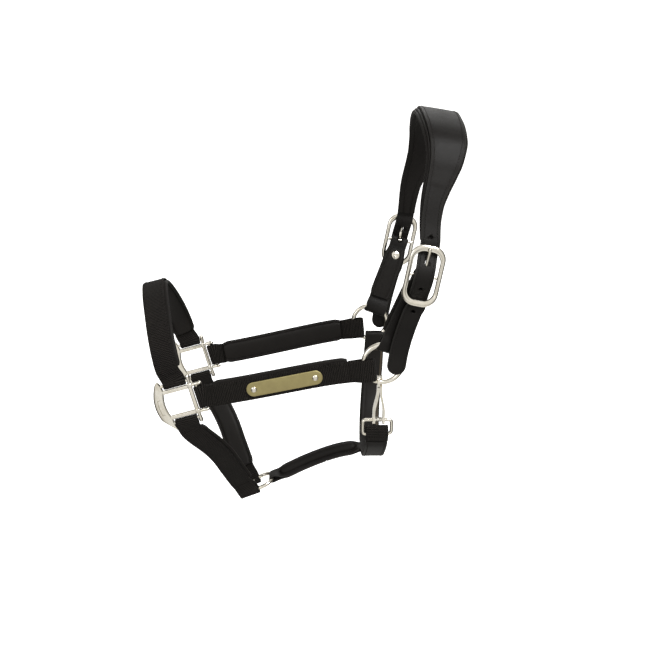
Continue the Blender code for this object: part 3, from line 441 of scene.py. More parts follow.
# %% Outlines
def arc(centre_u, centre_v, radius, start, end, steps):
    return [(centre_u + radius * cos(radians(start + (end - start) * i / steps)),
             centre_v + radius * sin(radians(start + (end - start) * i / steps))) for i in range(steps + 1)]


def oval(half_u, half_v, count):
    return [(half_u * cos(2 * pi * i / count), half_v * sin(2 * pi * i / count)) for i in range(count)]


def band(width, thickness, corner=0.45, steps=3, swell=0.0):
    """Flat outline with rounded corners; swell raises the middle of its outer face."""
    r = thickness * corner
    u = width / 2 - r
    v = thickness / 2 - r
    outline = arc(u, v, r, 0, 90, steps)
    outline += [(u * share, thickness / 2 + swell * (1 - share * share)) for share in (0.6, 0.2, -0.2, -0.6)]
    outline += arc(-u, v, r, 90, 180, steps) + arc(-u, -v, r, 180, 270, steps) + arc(u, -v, r, 270, 360, steps)
    return outline


def quilt(width, thickness, border=0.0036, groove=0.0010, crown=0.0009):
    """Rolled edges, flat against the strap, with a sewn channel and a raised panel on the inner face."""
    r = thickness / 2
    u = width / 2 - r
    outline = [(u * share, r) for share in (-0.5, 0.0, 0.5)]
    outline += arc(u, 0, r, 90, -70, 6)
    inner = width / 2 - border
    face = [(inner + 0.0011, 0.0), (inner, -groove), (inner - 0.0011, 0.0), (inner * 0.6, crown), (0.0, crown)]
    outline += [(a, -r - b) for a, b in face]
    outline += [(-a, -r - b) for a, b in face[-2::-1]]
    outline += arc(-u, 0, r, 250, 90, 6)
    return outline


def lay_up(name, frames, outline_at, finish, **options):
    """Carry an outline along frames; outline_at gives it for each distance."""
    rings = []
    marks = None
    for place, across, out, distance in frames:
        outline = outline_at(distance)
        marks = marks or [u * 1000 for u, v in outline]
        rings.append([place + across * u + out * v for u, v in outline])
    runs = [0.0]
    for first, second in zip(frames, frames[1:]):
        runs.append(runs[-1] + (second[0] - first[0]).length * 1000)
    return skin(name, rings, finish, marks, runs, **options)


def leather_strap(name, frames, outline_at):
    """Strap leather whose ends and upper rounded corners take a lighter edge finish: edge paint, and on the corners
    a painted highlight.
    """
    return lay_up(name, frames, outline_at, strap_leather, edges=HIGHLIGHT_CORNERS, edge_finish=edge_paint_and_highlight)


print("points in a strap's outline:", len(band(0.025, 0.002)), "and in a pad's:", len(quilt(0.0285, 0.0038)))

# %% [markdown]
# A strap end is turned round a bar and sewn back on itself.  Seen from the side it is a long hairpin: the
# outer layer, a half circle round the bar, and a short return layer behind.  Walking that hairpin and
# carrying one flat outline along it makes the fold, with real thickness at the edge.

# %% Folded ends
LAYER = 0.0019
FOLDED = 0.0021
FOLDED_REST = 0.0011
RETURN = 0.0162
TURN_AT_SQUARE = 0.0032
TURN_AT_JOWL = 0.0040
TURN_AT_CHIN = 0.0036


def ease(share):
    share = min(max(share, 0.0), 1.0)
    return share * share * (3 - 2 * share)


class Fold:
    """A turn round a bar: where the bar is, how far past it the strap reaches, and the turn's radius."""

    def __init__(self, bar, reach, turn, tail=RETURN):
        self.bar = bar
        self.turn = turn
        self.tail = tail
        self.reach = reach

    def centre(self, layer):
        return -max(self.reach - self.turn - layer / 2, 0.0)


def hairpin(route, start=None, end=None, layer=LAYER, rest=0.00025, first=0.0, last=None):
    """Frames along a strap that turns round a bar at its start, its end or both."""
    last = route.length if last is None else last
    behind = rest - layer

    def lift(fold, s, settled, turn):
        return turn + (settled - turn) * ease((s - 0.0018) / (3.0 * fold.turn))

    def half_turn(fold, sign):
        centre = fold.centre(layer)
        walk = [(s, lift(fold, s, behind, -fold.turn)) for s in
                [fold.tail + (centre - fold.tail) * i / 12 for i in range(13)]]
        walk += [(centre - fold.turn * sin(pi * i / 10), -fold.turn * cos(pi * i / 10)) for i in range(1, 10)]
        return [(fold.bar + sign * s, offset) for s, offset in walk]

    walk = half_turn(start, 1) if start else []
    begin = start.bar + start.centre(layer) if start else first
    finish = end.bar - end.centre(layer) if end else last
    for distance in route.spots(begin, finish, 0.0018):
        offset = rest
        if start:
            offset += lift(start, distance - start.bar, rest, start.turn) - rest
        if end:
            offset += lift(end, end.bar - distance, rest, end.turn) - rest
        walk.append((distance, offset))
    if end:
        walk += half_turn(end, -1)[::-1]
    places = []
    for distance, offset in walk:
        place, along, across, out, _ = route.at(distance)
        places.append((place + out * offset, across))
    frames = []
    travelled = 0.0
    for i, (place, across) in enumerate(places):
        if i:
            travelled += (place - places[i - 1][0]).length
        along = (places[min(i + 1, len(places) - 1)][0] - places[max(i - 1, 0)][0]).normalized()
        across = (across - along * across.dot(along)).normalized()
        frames.append((place, across, along.cross(across), walk[i][0]))
    return frames


# %% [markdown]
# Lock stitching is a row of short raised threads with a little gap between them.  Each stitch here is a
# small capsule half sunk in the leather, and all the stitches of a strap are one piece.

# %% Stitches
STITCH = 0.0021
STITCH_PITCH = 0.0030
THREAD = 0.00042


def edge_row(route, start, end, side, lift, pitch=STITCH_PITCH):
    """Places for a row that runs along a strap; side is a number, or a function of the value the route carries."""
    places = []
    for distance in route.spots(start, end, pitch):
        place, along, across, out, value = route.at(distance)
        shift = side(value) if callable(side) else side
        places.append((place + across * shift + out * lift, along, out))
    return places


def edge_rows(route, start, end, shift, lift, middle=0.0):
    """A row along each edge, shift to either side of the middle."""
    return [spot for side in (-1, 1) for spot in edge_row(route, start, end, side * shift + middle, lift)]


def cross_row(route, distance, half, lift, pitch=STITCH_PITCH):
    place, along, across, out, _ = route.at(distance)
    count = round(2 * half / pitch)
    return [(place + across * (half * (2 * i / count - 1)) + out * lift, across, out) for i in range(count + 1)]


def sew(name, places):
    shape = bmesh.new()
    lay = shape.loops.layers.uv.new("lay")
    for place, along, out in places:
        side = along.cross(out).normalized()
        rows = []
        for reach, size in ((-0.5, 0.45), (-0.34, 1.0), (0.34, 1.0), (0.5, 0.45)):
            rows.append([shape.verts.new(place + along * (reach * STITCH) + side * u + out * v)
                         for u, v in oval(THREAD * size, THREAD * size, 6)])
        for r in range(3):
            for j in range(6):
                k = (j + 1) % 6
                face = shape.faces.new((rows[r][j], rows[r][k], rows[r + 1][k], rows[r + 1][j]))
                for loop, spot in zip(face.loops, ((j, r), (j + 1, r), (j + 1, r + 1), (j, r + 1))):
                    loop[lay].uv = (spot[0] * 0.4, spot[1] * 0.7)
        shape.faces.new(rows[0][::-1])
        shape.faces.new(rows[-1])
    bmesh.ops.recalc_face_normals(shape, faces=shape.faces[:])
    mesh = meshed(name, shape, thread)
    mesh.shade_smooth()
    return placed(name, mesh)


# %% [markdown]
# The fittings set where every strap starts and ends, so their places come first: the buckle leans with the
# cheek billet, the square leans back with the noseband, and the lead ring hangs at the chin strap's slope.

# %% Places of the fittings
BUCKLE = Vector((-0.0215, -0.1040, -0.1555))
BUCKLE_UP = Vector((sin(radians(11)), 0, cos(radians(11))))
BUCKLE_ACROSS = Vector((cos(radians(11)), 0, -sin(radians(11))))
BUCKLE_BAR = BUCKLE + SIDE * 0.0025
JOWL = Vector((-0.0595, -0.0825, -0.2570))
JOWL_RADIUS = 0.0214
CHIN = Vector((-0.1970, 0, -0.4360))
CHIN_ALONG = rising(24)
CHIN_RADIUS = 0.0158
SQUARE = Vector((-0.2812, -0.0745, -0.3017))
SQUARE_RIGHT = rising(15)
SQUARE_UP = rising(105)
OWN_BAR = 0.0151
STRAP_BAR = 0.0223
LOW_BAR = Vector((-0.064, -0.077, -0.3415))
WEB = 0.025


def buckle_point(up, out):
    return BUCKLE + BUCKLE_UP * up - SIDE * out


def square_point(u, v, out=0.0):
    return SQUARE + SQUARE_RIGHT * u + SQUARE_UP * v - SIDE * out


print("buckle, ring, square:", tuple(BUCKLE), tuple(JOWL), tuple(SQUARE))

# %% [markdown]
# The crown is one long strap of smooth leather: wide over the poll, drawn in above the buckles, and cut
# round at its two tips.  It is laid in one go from the far tip over the poll to the near tip.  The holes
# are punched with a Boolean modifier whose result is kept as plain mesh.

# %% Crown route
TIP = 0.0205
CROWN_THICK = 0.0032
half = [(.0040, .0, .0070, .043), (.0043, -.0170, .0047, .0427), (.0046, -.0345, -.0010, .0420),
        (.0050, -.0530, -.0105, .0400), (.0048, -.0660, -.0215, .0375), (.0020, -.0755, -.0390, .0325),
        (-.0020, -.0800, -.0525, .0280), (-.0070, -.0845, -.0670, .0235), (-.0115, -.0890, -.0830, TIP),
        (-.0140, -.0940, -.1030, TIP)]
for up, out in ((.03375, -.0042), (.0234, -.0045), (.0065, .0032), (-.0065, .0032), (-.0234, -.0045),
                (-.03375, -.0042)):
    half.append((*buckle_point(up, out), TIP))
half += [(-.0315, -.0978, -.1965, TIP), (-.0385, -.0938, -.2200, TIP), (-.0435, -.0915, -.2420, TIP),
         (-.0470, -.0912, -.2670, TIP)]
crown_route = Route([(x, -y, z, w) for x, y, z, w in half[:0:-1]] + half, rising(-9))
print("crown length:", round(crown_route.length, 4))


def crown_outline(distance):
    width = crown_route.at(distance)[4]
    to_tip = min(distance, crown_route.length - distance)
    if to_tip < TIP / 2:
        width = max(2 * sqrt((TIP / 2) ** 2 - (TIP / 2 - to_tip) ** 2), 0.1 * TIP)
    return band(width, CROWN_THICK, 0.32, 3, 0.0004 if width > 0.024 else 0.0)


def punched(piece, cutters):
    for cutter in cutters:
        step = piece.modifiers.new("punch", "BOOLEAN")
        step.operation = "DIFFERENCE"
        step.solver = "MANIFOLD"
        step.object = cutter
    bpy.context.view_layer.update()
    cut = bpy.data.meshes.new_from_object(piece.evaluated_get(bpy.context.evaluated_depsgraph_get()))
    piece.modifiers.clear()
    piece.data = cut
    for cutter in cutters:
        bpy.data.objects.remove(cutter)
    return piece


def turned(name, start, along, profile, finish, sides=32, crease=30):
    """A round piece from (distance along, radius) pairs."""
    first = along.orthogonal().normalized()
    second = along.cross(first)
    rings = [[start + along * d + first * u + second * v for u, v in oval(r, r, sides)] for d, r in profile]
    return skin(name, rings, finish, crease=crease)


def punch(place, out, radius, long=1.0, up=None):
    """A cutter through the strap; long stretches it along up."""
    up = up or out.orthogonal().normalized()
    side = out.cross(up)
    rings = [[place + out * d + up * u + side * v for u, v in oval(radius * long, radius, 24)]
             for d in (-0.008, 0.008)]
    return skin("cutter", rings, hole_painted_shade)


# %% Crown strap
HOLE_PITCH = 0.028
HOLE_RADIUS = 0.0021
crown = leather_strap("crown_leather", crown_route.frames(0.0004, crown_route.length - 0.0004, pitch=0.0022),
                      crown_outline)
near_bar = min(crown_route.spots(crown_route.length / 2, crown_route.length, 0.0005),
               key=lambda d: (crown_route.at(d)[0] - BUCKLE).length)
cutters = []
for step in (-1.5, 0.5, 1.5):
    for distance in (near_bar + step * HOLE_PITCH, crown_route.length - near_bar - step * HOLE_PITCH):
        place, along, across, out, _ = crown_route.at(distance)
        cutters.append(punch(place, out, HOLE_RADIUS))
slot_centre = BUCKLE + BUCKLE_UP * 0.0142
for side in (1, -1):
    centre = Vector((slot_centre.x, slot_centre.y * side, slot_centre.z))
    cutters.append(punch(centre, SIDE, 0.0020, 1.6, BUCKLE_UP))
punched(crown, cutters)
settle(crown, "headcollar", "black_leather", "crown_strap")
print("crown faces:", len(crown.data.polygons))

# %% Crown padding
CUSHION_THICK = 0.0034
PIPING_THICK = 0.0021
pad_start = min(d for d in crown_route.spots(0, crown_route.length / 2, 0.001)
                if crown_route.at(d)[0].z > -0.1187)
pad_end = crown_route.length - pad_start


def toward_end(distance):
    return abs(2 * (distance - pad_start) / (pad_end - pad_start) - 1)


def cushion_thickness(distance):
    return CUSHION_THICK * min(1, 0.5 + 4 * (1 - toward_end(distance)))


def cushion_outline(distance):
    share = toward_end(distance)
    extra = 0.0100 * (1 - share) + 0.0045 * share - 0.0042 * ease((share - 0.72) / 0.28)
    return quilt(crown_route.at(distance)[4] + extra, cushion_thickness(distance), 0.0062, 0.0006, 0.0002)


def piping_outline(distance):
    share = toward_end(distance)
    extra = 0.0056 * (1 - share) + 0.0024 * share - 0.0026 * ease((share - 0.70) / 0.28)
    return band(crown_route.at(distance)[4] + extra, PIPING_THICK * min(1, 0.6 + 3 * (1 - share)), 0.49, 4)


cushion_frames = [(place - out * (0.0036 + cushion_thickness(distance) / 2), across, out, distance)
                  for place, across, out, distance in crown_route.frames(pad_start, pad_end, 0, 0, 0.0025)]
cushion = lay_up("crown_cushion", cushion_frames, cushion_outline, lining_leather)
settle(cushion, "headcollar", "black_lining_leather", "crown_pad", fill=0.5)
piping = lay_up("crown_piping", crown_route.frames(pad_start + 0.001, pad_end - 0.001, -0.00262, 0, 0.0025),
                piping_outline, lining_leather)
settle(piping, "headcollar", "black_lining_leather", fill=0.7)

rows = []
for side in (-1, 1):
    rows += edge_row(crown_route, pad_start + 0.003, pad_end - 0.003, lambda w, s=side: s * (w / 2 - 0.0036),
                     CROWN_THICK / 2 + 0.0001)
    for start, end in ((0.010, pad_start), (pad_end, crown_route.length - 0.010)):
        rows += edge_row(crown_route, start, end, side * (TIP / 2 - 0.0030), CROWN_THICK / 2 + 0.0001)
settle(sew("crown_stitching", rows), "headcollar", "black_leather")
print("crown pad from", round(pad_start, 4), "to", round(pad_end, 4), "stitches:", len(rows))

# %% [markdown]
# The cheek billets are two layers of leather folded round the buckle's bar at the top and round the jowl
# ring below, with a softer lining behind.  A round screw closes the fold on the inside, so the billet can
# be taken off the ring.

# %% Cheek billets
billet_ring = JOWL + JOWL_RADIUS * Vector((sin(radians(22)), 0, cos(radians(22))))
down = (billet_ring - BUCKLE_BAR).normalized()
billet_points = [BUCKLE_BAR - down * 0.0043, BUCKLE_BAR, BUCKLE_BAR.lerp(billet_ring, 0.30) + SIDE * 0.0034,
                 BUCKLE_BAR.lerp(billet_ring, 0.65) + SIDE * 0.0022, billet_ring, billet_ring + down * 0.0091]
billet = Route(billet_points, rising(-15))


def billet_width(distance):
    if distance < 0.02:
        return 0.0205 + 0.001 * max(distance, 0.0) / 0.02
    return 0.0215 + 0.0047 * (distance - 0.02) / (billet.length - 0.02)


middle = billet.length / 2
top_turn = Fold(0.0043, 0.0043, 0.0033, middle - 0.0046)
ring_turn = Fold(billet.length - 0.0091, 0.0091, TURN_AT_JOWL, middle - 0.0095)
billet_leather = leather_strap("near_billet_leather", hairpin(billet, top_turn, ring_turn, FOLDED, FOLDED_REST),
                               lambda d: band(billet_width(d), FOLDED, 0.34))
place, along, across, out, _ = billet.at(0.0043)
punched(billet_leather, [punch(place + BUCKLE_UP * 0.001, out, 0.0023, 2.2, BUCKLE_UP)])
settle(billet_leather, "headcollar", "black_leather", "near_cheek_billet", both=True)
lining_start = 0.0178
lining_end = billet.length - 0.0226


def billet_pad_outline(distance):
    to_end = min(distance - lining_start, lining_end - distance)
    drawn_in = 0.0030 * ease(1 - to_end / 0.009)
    return quilt(billet_width(distance) + 0.0026 - drawn_in, 0.0032, 0.0042, 0.0006, 0.0003)


billet_pad = lay_up("near_billet_pad", billet.frames(lining_start, lining_end, -0.0044, -0.0014),
                    billet_pad_outline, lining_leather)
settle(billet_pad, "headcollar", "black_lining_leather", "near_billet_lining", fill=0.4, both=True)
rows = []
for side in (-1, 1):
    for distance in billet.spots(0.012, billet.length - 0.018, STITCH_PITCH):
        place, along, across, out, _ = billet.at(distance)
        shift = side * (billet_width(distance) / 2 - 0.0026)
        rows.append((place + across * shift + out * 0.00225, along, out))
settle(sew("near_billet_stitching", rows), "headcollar", "black_leather", both=True)

place, along, across, out, _ = billet.at(0.0253)
seat = 0.0065
SCREW_RADIUS = 0.00525
screw = turned("near_screw_head", place, -out, [
    (-0.0008, 0.002), (seat - 0.0004, 0.002), (seat - 0.0002, 0.0051), (seat + 0.0005, SCREW_RADIUS),
    (seat + 0.0011, 0.0048), (seat + 0.0015, 0.0038), (seat + 0.0016, 0.0022), (seat + 0.0012, 0.0018),
    (seat + 0.0011, 0.0004)], nickel)
settle(screw, "headcollar", "bright_nickel", "near_billet_screw", both=True)
print("billet length:", round(billet.length, 4))

# %% [markdown]
# The cheek straps, chin straps and noseband are one kind of piece: woven webbing turned round a strap bar
# of the square, with padded leather sewn behind it.  One helper makes the webbing, its lining, the stitch
# rows along both edges and the cross rows that close the folds.

# %% Webbing straps
BAR_REACH = 0.0042
PAD_MARGIN = 0.0210
PAD_WIDE = 0.0285
PAD_THICK = 0.0038
PAD_LIFT = -0.0036
PAD_SHIFT = 0.0016


def webbing_strap(name, route, start, end, body, nodes, both):
    strap = lay_up(name + "_webbing", hairpin(route, start, end), lambda d: band(WEB, LAYER, 0.48), webbing)
    settle(strap, body, "black_webbing", nodes, both=both)
    rows = edge_rows(route, start.bar + 0.012, end.bar - 0.012, WEB / 2 - 0.0026, 0.00128)
    for fold, sign in ((start, 1), (end, -1)):
        for reach in (0.0115, 0.0150):
            rows += cross_row(route, fold.bar + sign * reach, WEB / 2 - 0.0040, 0.00130)
    settle(sew(name + "_stitching", rows), body, "black_webbing", both=both)
    return strap


def lining(name, route, start, end, width, body, node, both):
    def outline_at(distance):
        near_end = min(distance - start, end - distance)
        return quilt(width - 0.003 * (1 - ease(near_end / 0.006)), PAD_THICK)

    pad = lay_up(name + "_pad", route.frames(start, end, PAD_LIFT, PAD_SHIFT), outline_at, lining_leather)
    settle(pad, body, "black_lining_leather", node, fill=0.45, both=both)
    rows = [(place, along, -out) for place, along, out in edge_rows(
        route, start + 0.003, end - 0.003, width / 2 - 0.0036, PAD_LIFT - 0.0014, PAD_SHIFT)]
    settle(sew(name + "_pad_stitching", rows), body, "black_lining_leather", both=both)


nose_half = [square_point(0, 0.0181), square_point(0, 0.0223), square_point(0, 0.0265),
             square_point(-0.0030, 0.0400, 0.0004), Vector((-0.2992, -0.0700, -0.2460)),
             Vector((-0.3040, -0.0585, -0.2270)), Vector((-0.3082, -0.0435, -0.2105)),
             Vector((-0.3125, -0.0260, -0.1950)), Vector((-0.3150, -0.0100, -0.1855))]
nose_points = [Vector((p.x, -p.y, p.z)) for p in nose_half] + [Vector((-0.3158, 0, -0.1838))] + nose_half[::-1]
nose = Route(nose_points, rising(14))
at_square = Fold(BAR_REACH, BAR_REACH, TURN_AT_SQUARE)
webbing_strap("noseband", nose, at_square, Fold(nose.length - BAR_REACH, BAR_REACH, TURN_AT_SQUARE),
              "headcollar", "noseband_strap", False)
lining("noseband", nose, PAD_MARGIN, nose.length - PAD_MARGIN, PAD_WIDE, "headcollar", "noseband_pad", False)

cheek = Route([square_point(0.0181, 0), square_point(0.0223, 0), square_point(0.0265, 0),
               (-0.2440, -0.0755, -0.2940), (-0.2050, -0.0770, -0.2872), (-0.1300, -0.0797, -0.2722),
               (-0.0990, -0.0813, -0.2672), (-0.0795, -0.0825, -0.2652), (-0.0668, -0.0825, -0.2640)],
              rising(104))
webbing_strap("near_cheek", cheek, at_square, Fold(cheek.length - 0.0128, 0.0128, TURN_AT_JOWL),
              "headcollar", "near_cheek_strap", True)
lining("near_cheek", cheek, PAD_MARGIN, cheek.length - 0.0303, PAD_WIDE, "headcollar", "near_cheek_lining", True)

chin = Route([square_point(0, -0.0181), square_point(0, -0.0223), square_point(0, -0.0265),
              square_point(0.0006, -0.0350, -0.0008), (-0.2640, -0.0700, -0.3460), (-0.2510, -0.0610, -0.3620),
              (-0.2400, -0.0485, -0.3810), (-0.2305, -0.0355, -0.4040), (-0.2215, -0.0238, -0.4250),
              (-0.2140, -0.0158, -0.4385), (-0.2100, -0.0118, -0.4480)], rising(18))
webbing_strap("near_chin", chin, at_square, Fold(chin.length - 0.0100, 0.0100, TURN_AT_CHIN),
              "headcollar", "near_chin_strap", True)
lining("near_chin", chin, PAD_MARGIN, chin.length - 0.0265, 0.0275, "headcollar", "near_chin_lining", True)
print("noseband, cheek, chin:", [round(r.length, 3) for r in (nose, cheek, chin)])

# %% [markdown]
# The throat strap is plain leather in two layers.  It hangs from the far jowl ring, passes through the
# loop at the rear end of the jaw strap and ends in a webbing tab folded round the snap's loop.  A short ridge
# of webbing crosses the tab's face.  Behind the strap, on the far side, lies a thinner lining; one of its
# rolled edges is coloured tan, a painted highlight.

# %% Throat strap and tab
throat = Route([(-.0640, -.0748, -.3512), (-.0645, -.0690, -.3602), (-.0650, -.0560, -.3725),
                (-.0650, -.0400, -.3835), (-.0645, -.0200, -.3907), (-.0640, 0, -.3925),
                (-.0635, .0200, -.3905), (-.0620, .0420, -.3815), (-.0600, .0600, -.3640),
                (-.0575, .0730, -.3420), (-.0550, .0795, -.3170), (-.0538, .0825, -.2950),
                (-.0532, .0825, -.2775), (-.0530, .0825, -.2688)], FORE)
throat_turn = Fold(throat.length - 0.0088, 0.0088, TURN_AT_JOWL, throat.length - 0.0095)


THROAT_WIDTH = 0.0248


def throat_width(distance):
    return THROAT_WIDTH - 0.0020 * ease((distance - throat.length + 0.03) / 0.03)


throat_leather = leather_strap("throat_leather", hairpin(throat, None, throat_turn, FOLDED, FOLDED_REST, 0.0004),
                               lambda d: band(throat_width(d), FOLDED, 0.34))
settle(throat_leather, "headcollar", "black_leather", "throat_strap")
rows = edge_rows(throat, 0.004, throat.length - 0.014, THROAT_WIDTH / 2 - 0.0030, 0.00222)
rows += cross_row(throat, throat.length - 0.020, 0.0085, 0.00222)
settle(sew("throat_stitching", rows), "headcollar", "black_leather")
# One rolled edge of the throat lining takes the tan colour, a painted highlight.
throat_pad = lay_up("throat_pad", throat.frames(0.128, throat.length - 0.0248, -0.0039),
                    lambda d: quilt(0.0218, 0.0024, 0.0036, 0.0004, 0.0002), lining_leather,
                    edges=tuple(range(2, 10)), edge_finish=tan_highlight_finish)
settle(throat_pad, "headcollar", "black_lining_leather", "throat_lining", fill=0.3)

TAB_LAYER = 0.0023
tab_end = throat.at(0.0)[0] - throat.at(0.0)[1] * 0.0017
tab = Route([LOW_BAR + UP * 0.0045, LOW_BAR, LOW_BAR.lerp(tab_end, 0.6), tab_end], FORE)
tab_turn = Fold(0.0045, 0.0100, 0.0033, tab.length - 0.0049)
tab_piece = lay_up("throat_tab_webbing",
                   hairpin(tab, tab_turn, None, TAB_LAYER, 0.0014, 0, tab.length - 0.0004),
                   lambda d: band(WEB, TAB_LAYER, 0.48), webbing)
settle(tab_piece, "headcollar", "black_webbing", "throat_tab")
RIDGE_HALF = 0.0126
place, along, across, out, _ = tab.at(0.0064)
ridge_frames = [(place + out * 0.0036 + FORE * shift, out, along, shift)
                for shift in (-RIDGE_HALF, 0.0004 - RIDGE_HALF, 0.0, RIDGE_HALF - 0.0004, RIDGE_HALF)]
ridge = lay_up("throat_tab_ridge", ridge_frames,
               lambda shift: oval(0.0005, 0.0007, 12) if abs(shift) == RIDGE_HALF else oval(0.0010, 0.0013, 12),
               webbing)
settle(ridge, "headcollar", "black_webbing")
rows = cross_row(tab, tab.length - 0.0022, 0.0095, 0.0027)
settle(sew("throat_tab_stitching", rows), "headcollar", "black_webbing")
print("throat, tab:", round(throat.length, 4), round(tab.length, 4))

# %% [markdown]
# The jaw strap joins the lead ring to the throat strap.  It is a flat strap with a rolled welt sewn along
# its middle.  The front end turns round the ring, and the rear end turns round the throat strap.  Both ends
# are level, and between them the strap leans over by LEAN degrees.

# %% Jaw strap
jaw_start = CHIN + CHIN_ALONG * CHIN_RADIUS
jaw = Route([jaw_start - CHIN_ALONG * 0.0057, jaw_start, jaw_start + CHIN_ALONG * 0.016, (-.1400, 0, -.4095),
             (-.1080, 0, -.3975), (-.0812, 0, -.3925), (-.064, 0, -.3925), (-.0468, 0, -.3925)], SIDE)
LEAN = 44.0
JAW_WIDTH = 0.0178
JAW_LAYER = 0.0022
jaw_tail = jaw.length / 2 - 0.006
ring_end = Fold(0.0057, 0.0057, 0.0034, jaw_tail)
rear_end = Fold(jaw.length - 0.0052, 0.0052, 0.0040, jaw_tail)


def lean_share(distance):
    """How far the strap leans over between its two ends."""
    return ease((distance - 0.008) / 0.018) * ease((jaw.length - 0.027 - distance) / 0.018)


def lean_axes(distance):
    """Across and outward on the leaning strap."""
    _, _, across, out, _ = jaw.at(distance)
    angle = radians(LEAN * lean_share(distance))
    return across * cos(angle) + out * sin(angle), out * cos(angle) - across * sin(angle)


leaning = []
for place, across, out, distance in hairpin(jaw, ring_end, rear_end, JAW_LAYER, FOLDED_REST):
    line, along, _, level_out, _ = jaw.at(distance)
    lean_across, lean_out = lean_axes(distance)
    offset = place - line
    if lean_share(distance) > 0:
        across = lean_across
        out = lean_out if out.dot(level_out) >= 0 else -lean_out
    moved = line + along * offset.dot(along) + lean_out * offset.dot(level_out)
    leaning.append((moved, across, out, distance))
jaw_strap = leather_strap("jaw_strap_leather", leaning, lambda d: band(JAW_WIDTH, JAW_LAYER, 0.36))
settle(jaw_strap, "headcollar", "black_leather", "jaw_strap")
roll_start = 0.0135
roll_end = jaw.length - 0.0330


def leaned(lift, shift, pitch):
    """Frames along the roll's length, off the middle of the leaning strap."""
    frames = []
    for distance in jaw.spots(roll_start, roll_end, pitch):
        across, out = lean_axes(distance)
        frames.append((jaw.at(distance)[0] + out * lift + across * shift, across, out, distance))
    return frames


def roll_outline(distance):
    size = ease((distance - roll_start) / 0.007 + 0.25) * ease((roll_end - distance) / 0.007 + 0.25)
    return oval(0.0056 * size, 0.0042 * size, 24)


roll = lay_up("jaw_roll", leaned(0.0018, 0.0014, 0.0018), roll_outline, strap_leather)
settle(roll, "headcollar", "black_leather", fill=0.8)
rows = []
for shift in (-0.0050, 0.0074):
    for place, across, out, distance in leaned(0.00222, shift, STITCH_PITCH):
        rows.append((place, jaw.at(distance)[1], out))
settle(sew("jaw_stitching", rows), "headcollar", "black_leather")
print("jaw strap length:", round(jaw.length, 4))

# %% [markdown]
# Round wire and bars are swept circles.  A ring is the same circle carried round a bigger one, and a bar
# with a ball end is turned from a short profile.

# %% Wire and rings
def ring(name, centre, first, second, radius, wire, around=96, section=20):
    normal = first.cross(second)
    rings = []
    for i in range(around):
        spoke = first * cos(2 * pi * i / around) + second * sin(2 * pi * i / around)
        rings.append([centre + spoke * (radius + u) + normal * v for u, v in oval(wire / 2, wire / 2, section)])
    return skin(name, rings, nickel, looped=True)


def bar(name, start, end, diameter, blunt=0.0):
    """A round bar; blunt rounds off its ends by that length."""
    along = (end - start).normalized()
    length = (end - start).length
    r = diameter / 2
    if blunt:
        profile = [(0, 0.55 * r), (0.35 * blunt, 0.86 * r), (blunt, r), (length - blunt, r),
                   (length - 0.35 * blunt, 0.86 * r), (length, 0.55 * r)]
    else:
        profile = [(0, r), (length, r)]
    return turned(name, start, along, profile, nickel, 20, 50)


def joined(name, parts):
    """Make several castings one piece."""
    shape = bmesh.new()
    for part in parts:
        shape.from_mesh(part.data)
    mesh = meshed(name, shape, *parts[0].data.materials)
    for part in parts:
        bpy.data.objects.remove(part)
    return placed(name, mesh)


settle(ring("near_ring_wire", JOWL, FORE, UP, JOWL_RADIUS, 0.0052), "near_ring", "bright_nickel",
       "near_jowl_ring", both=True)
settle(ring("lead_ring_wire", CHIN, CHIN_ALONG, SIDE, CHIN_RADIUS, 0.0044), "lead_ring", "bright_nickel",
       "chin_ring")
print("rings made")

# %% [markdown]
# The buckle is a cast frame with softly rounded faces.  Between its outer and inner outlines runs an oval
# section with a fine step near the inside, which catches the light as a bright line.  The tongue is a
# tapering finger with an eye round the bar.

# %% Crown buckles
def rounded_oblong(length, width, radius, corner=9, straight=4):
    corners = [(length / 2 - radius, width / 2 - radius, 0), (radius - length / 2, width / 2 - radius, 90),
               (radius - length / 2, radius - width / 2, 180), (length / 2 - radius, radius - width / 2, 270)]
    outline = []
    for u, v, start in corners:
        outline += arc(u, v, radius, start, start + 90, corner)
    full = []
    for i, point in enumerate(outline):
        full.append(point)
        if i % (corner + 1) == corner:
            after = outline[(i + 1) % len(outline)]
            full += [tuple(a + (b - a) * s / straight for a, b in zip(point, after)) for s in range(1, straight)]
    return full


def rim(turn):
    """Share of the way from outside to inside, and height, round the frame's section."""
    share = 0.5 - 0.5 * (abs(cos(turn)) ** 0.95) * (1 if cos(turn) > 0 else -1)
    height = (abs(sin(turn)) ** 0.9) * (1 if sin(turn) > 0 else -1)
    if height > 0 and 0.60 < share < 0.82:
        height -= 0.22
    return share, 0.5 * height


rings = []
FRAME_DEPTH = 0.0044
outside = rounded_oblong(0.0655, 0.038, 0.0150)
inside = rounded_oblong(0.0512, 0.0282, 0.0104)
for (ou, ov), (iu, iv) in zip(outside, inside):
    section = []
    for i in range(28):
        share, height = rim(2 * pi * i / 28)
        section.append(BUCKLE + BUCKLE_UP * (ou + (iu - ou) * share) + BUCKLE_ACROSS * (ov + (iv - ov) * share)
                       - SIDE * (height * FRAME_DEPTH))
    rings.append(section)
frame_cast = skin("buckle_cast", rings, nickel, looped=True, crease=50)
cross_bar = bar("buckle_bar", BUCKLE_BAR - BUCKLE_ACROSS * 0.0158, BUCKLE_BAR + BUCKLE_ACROSS * 0.0158, 0.004)
settle(joined("near_buckle_cast", [frame_cast, cross_bar]), "headcollar", "bright_nickel", "near_buckle_frame",
       both=True)

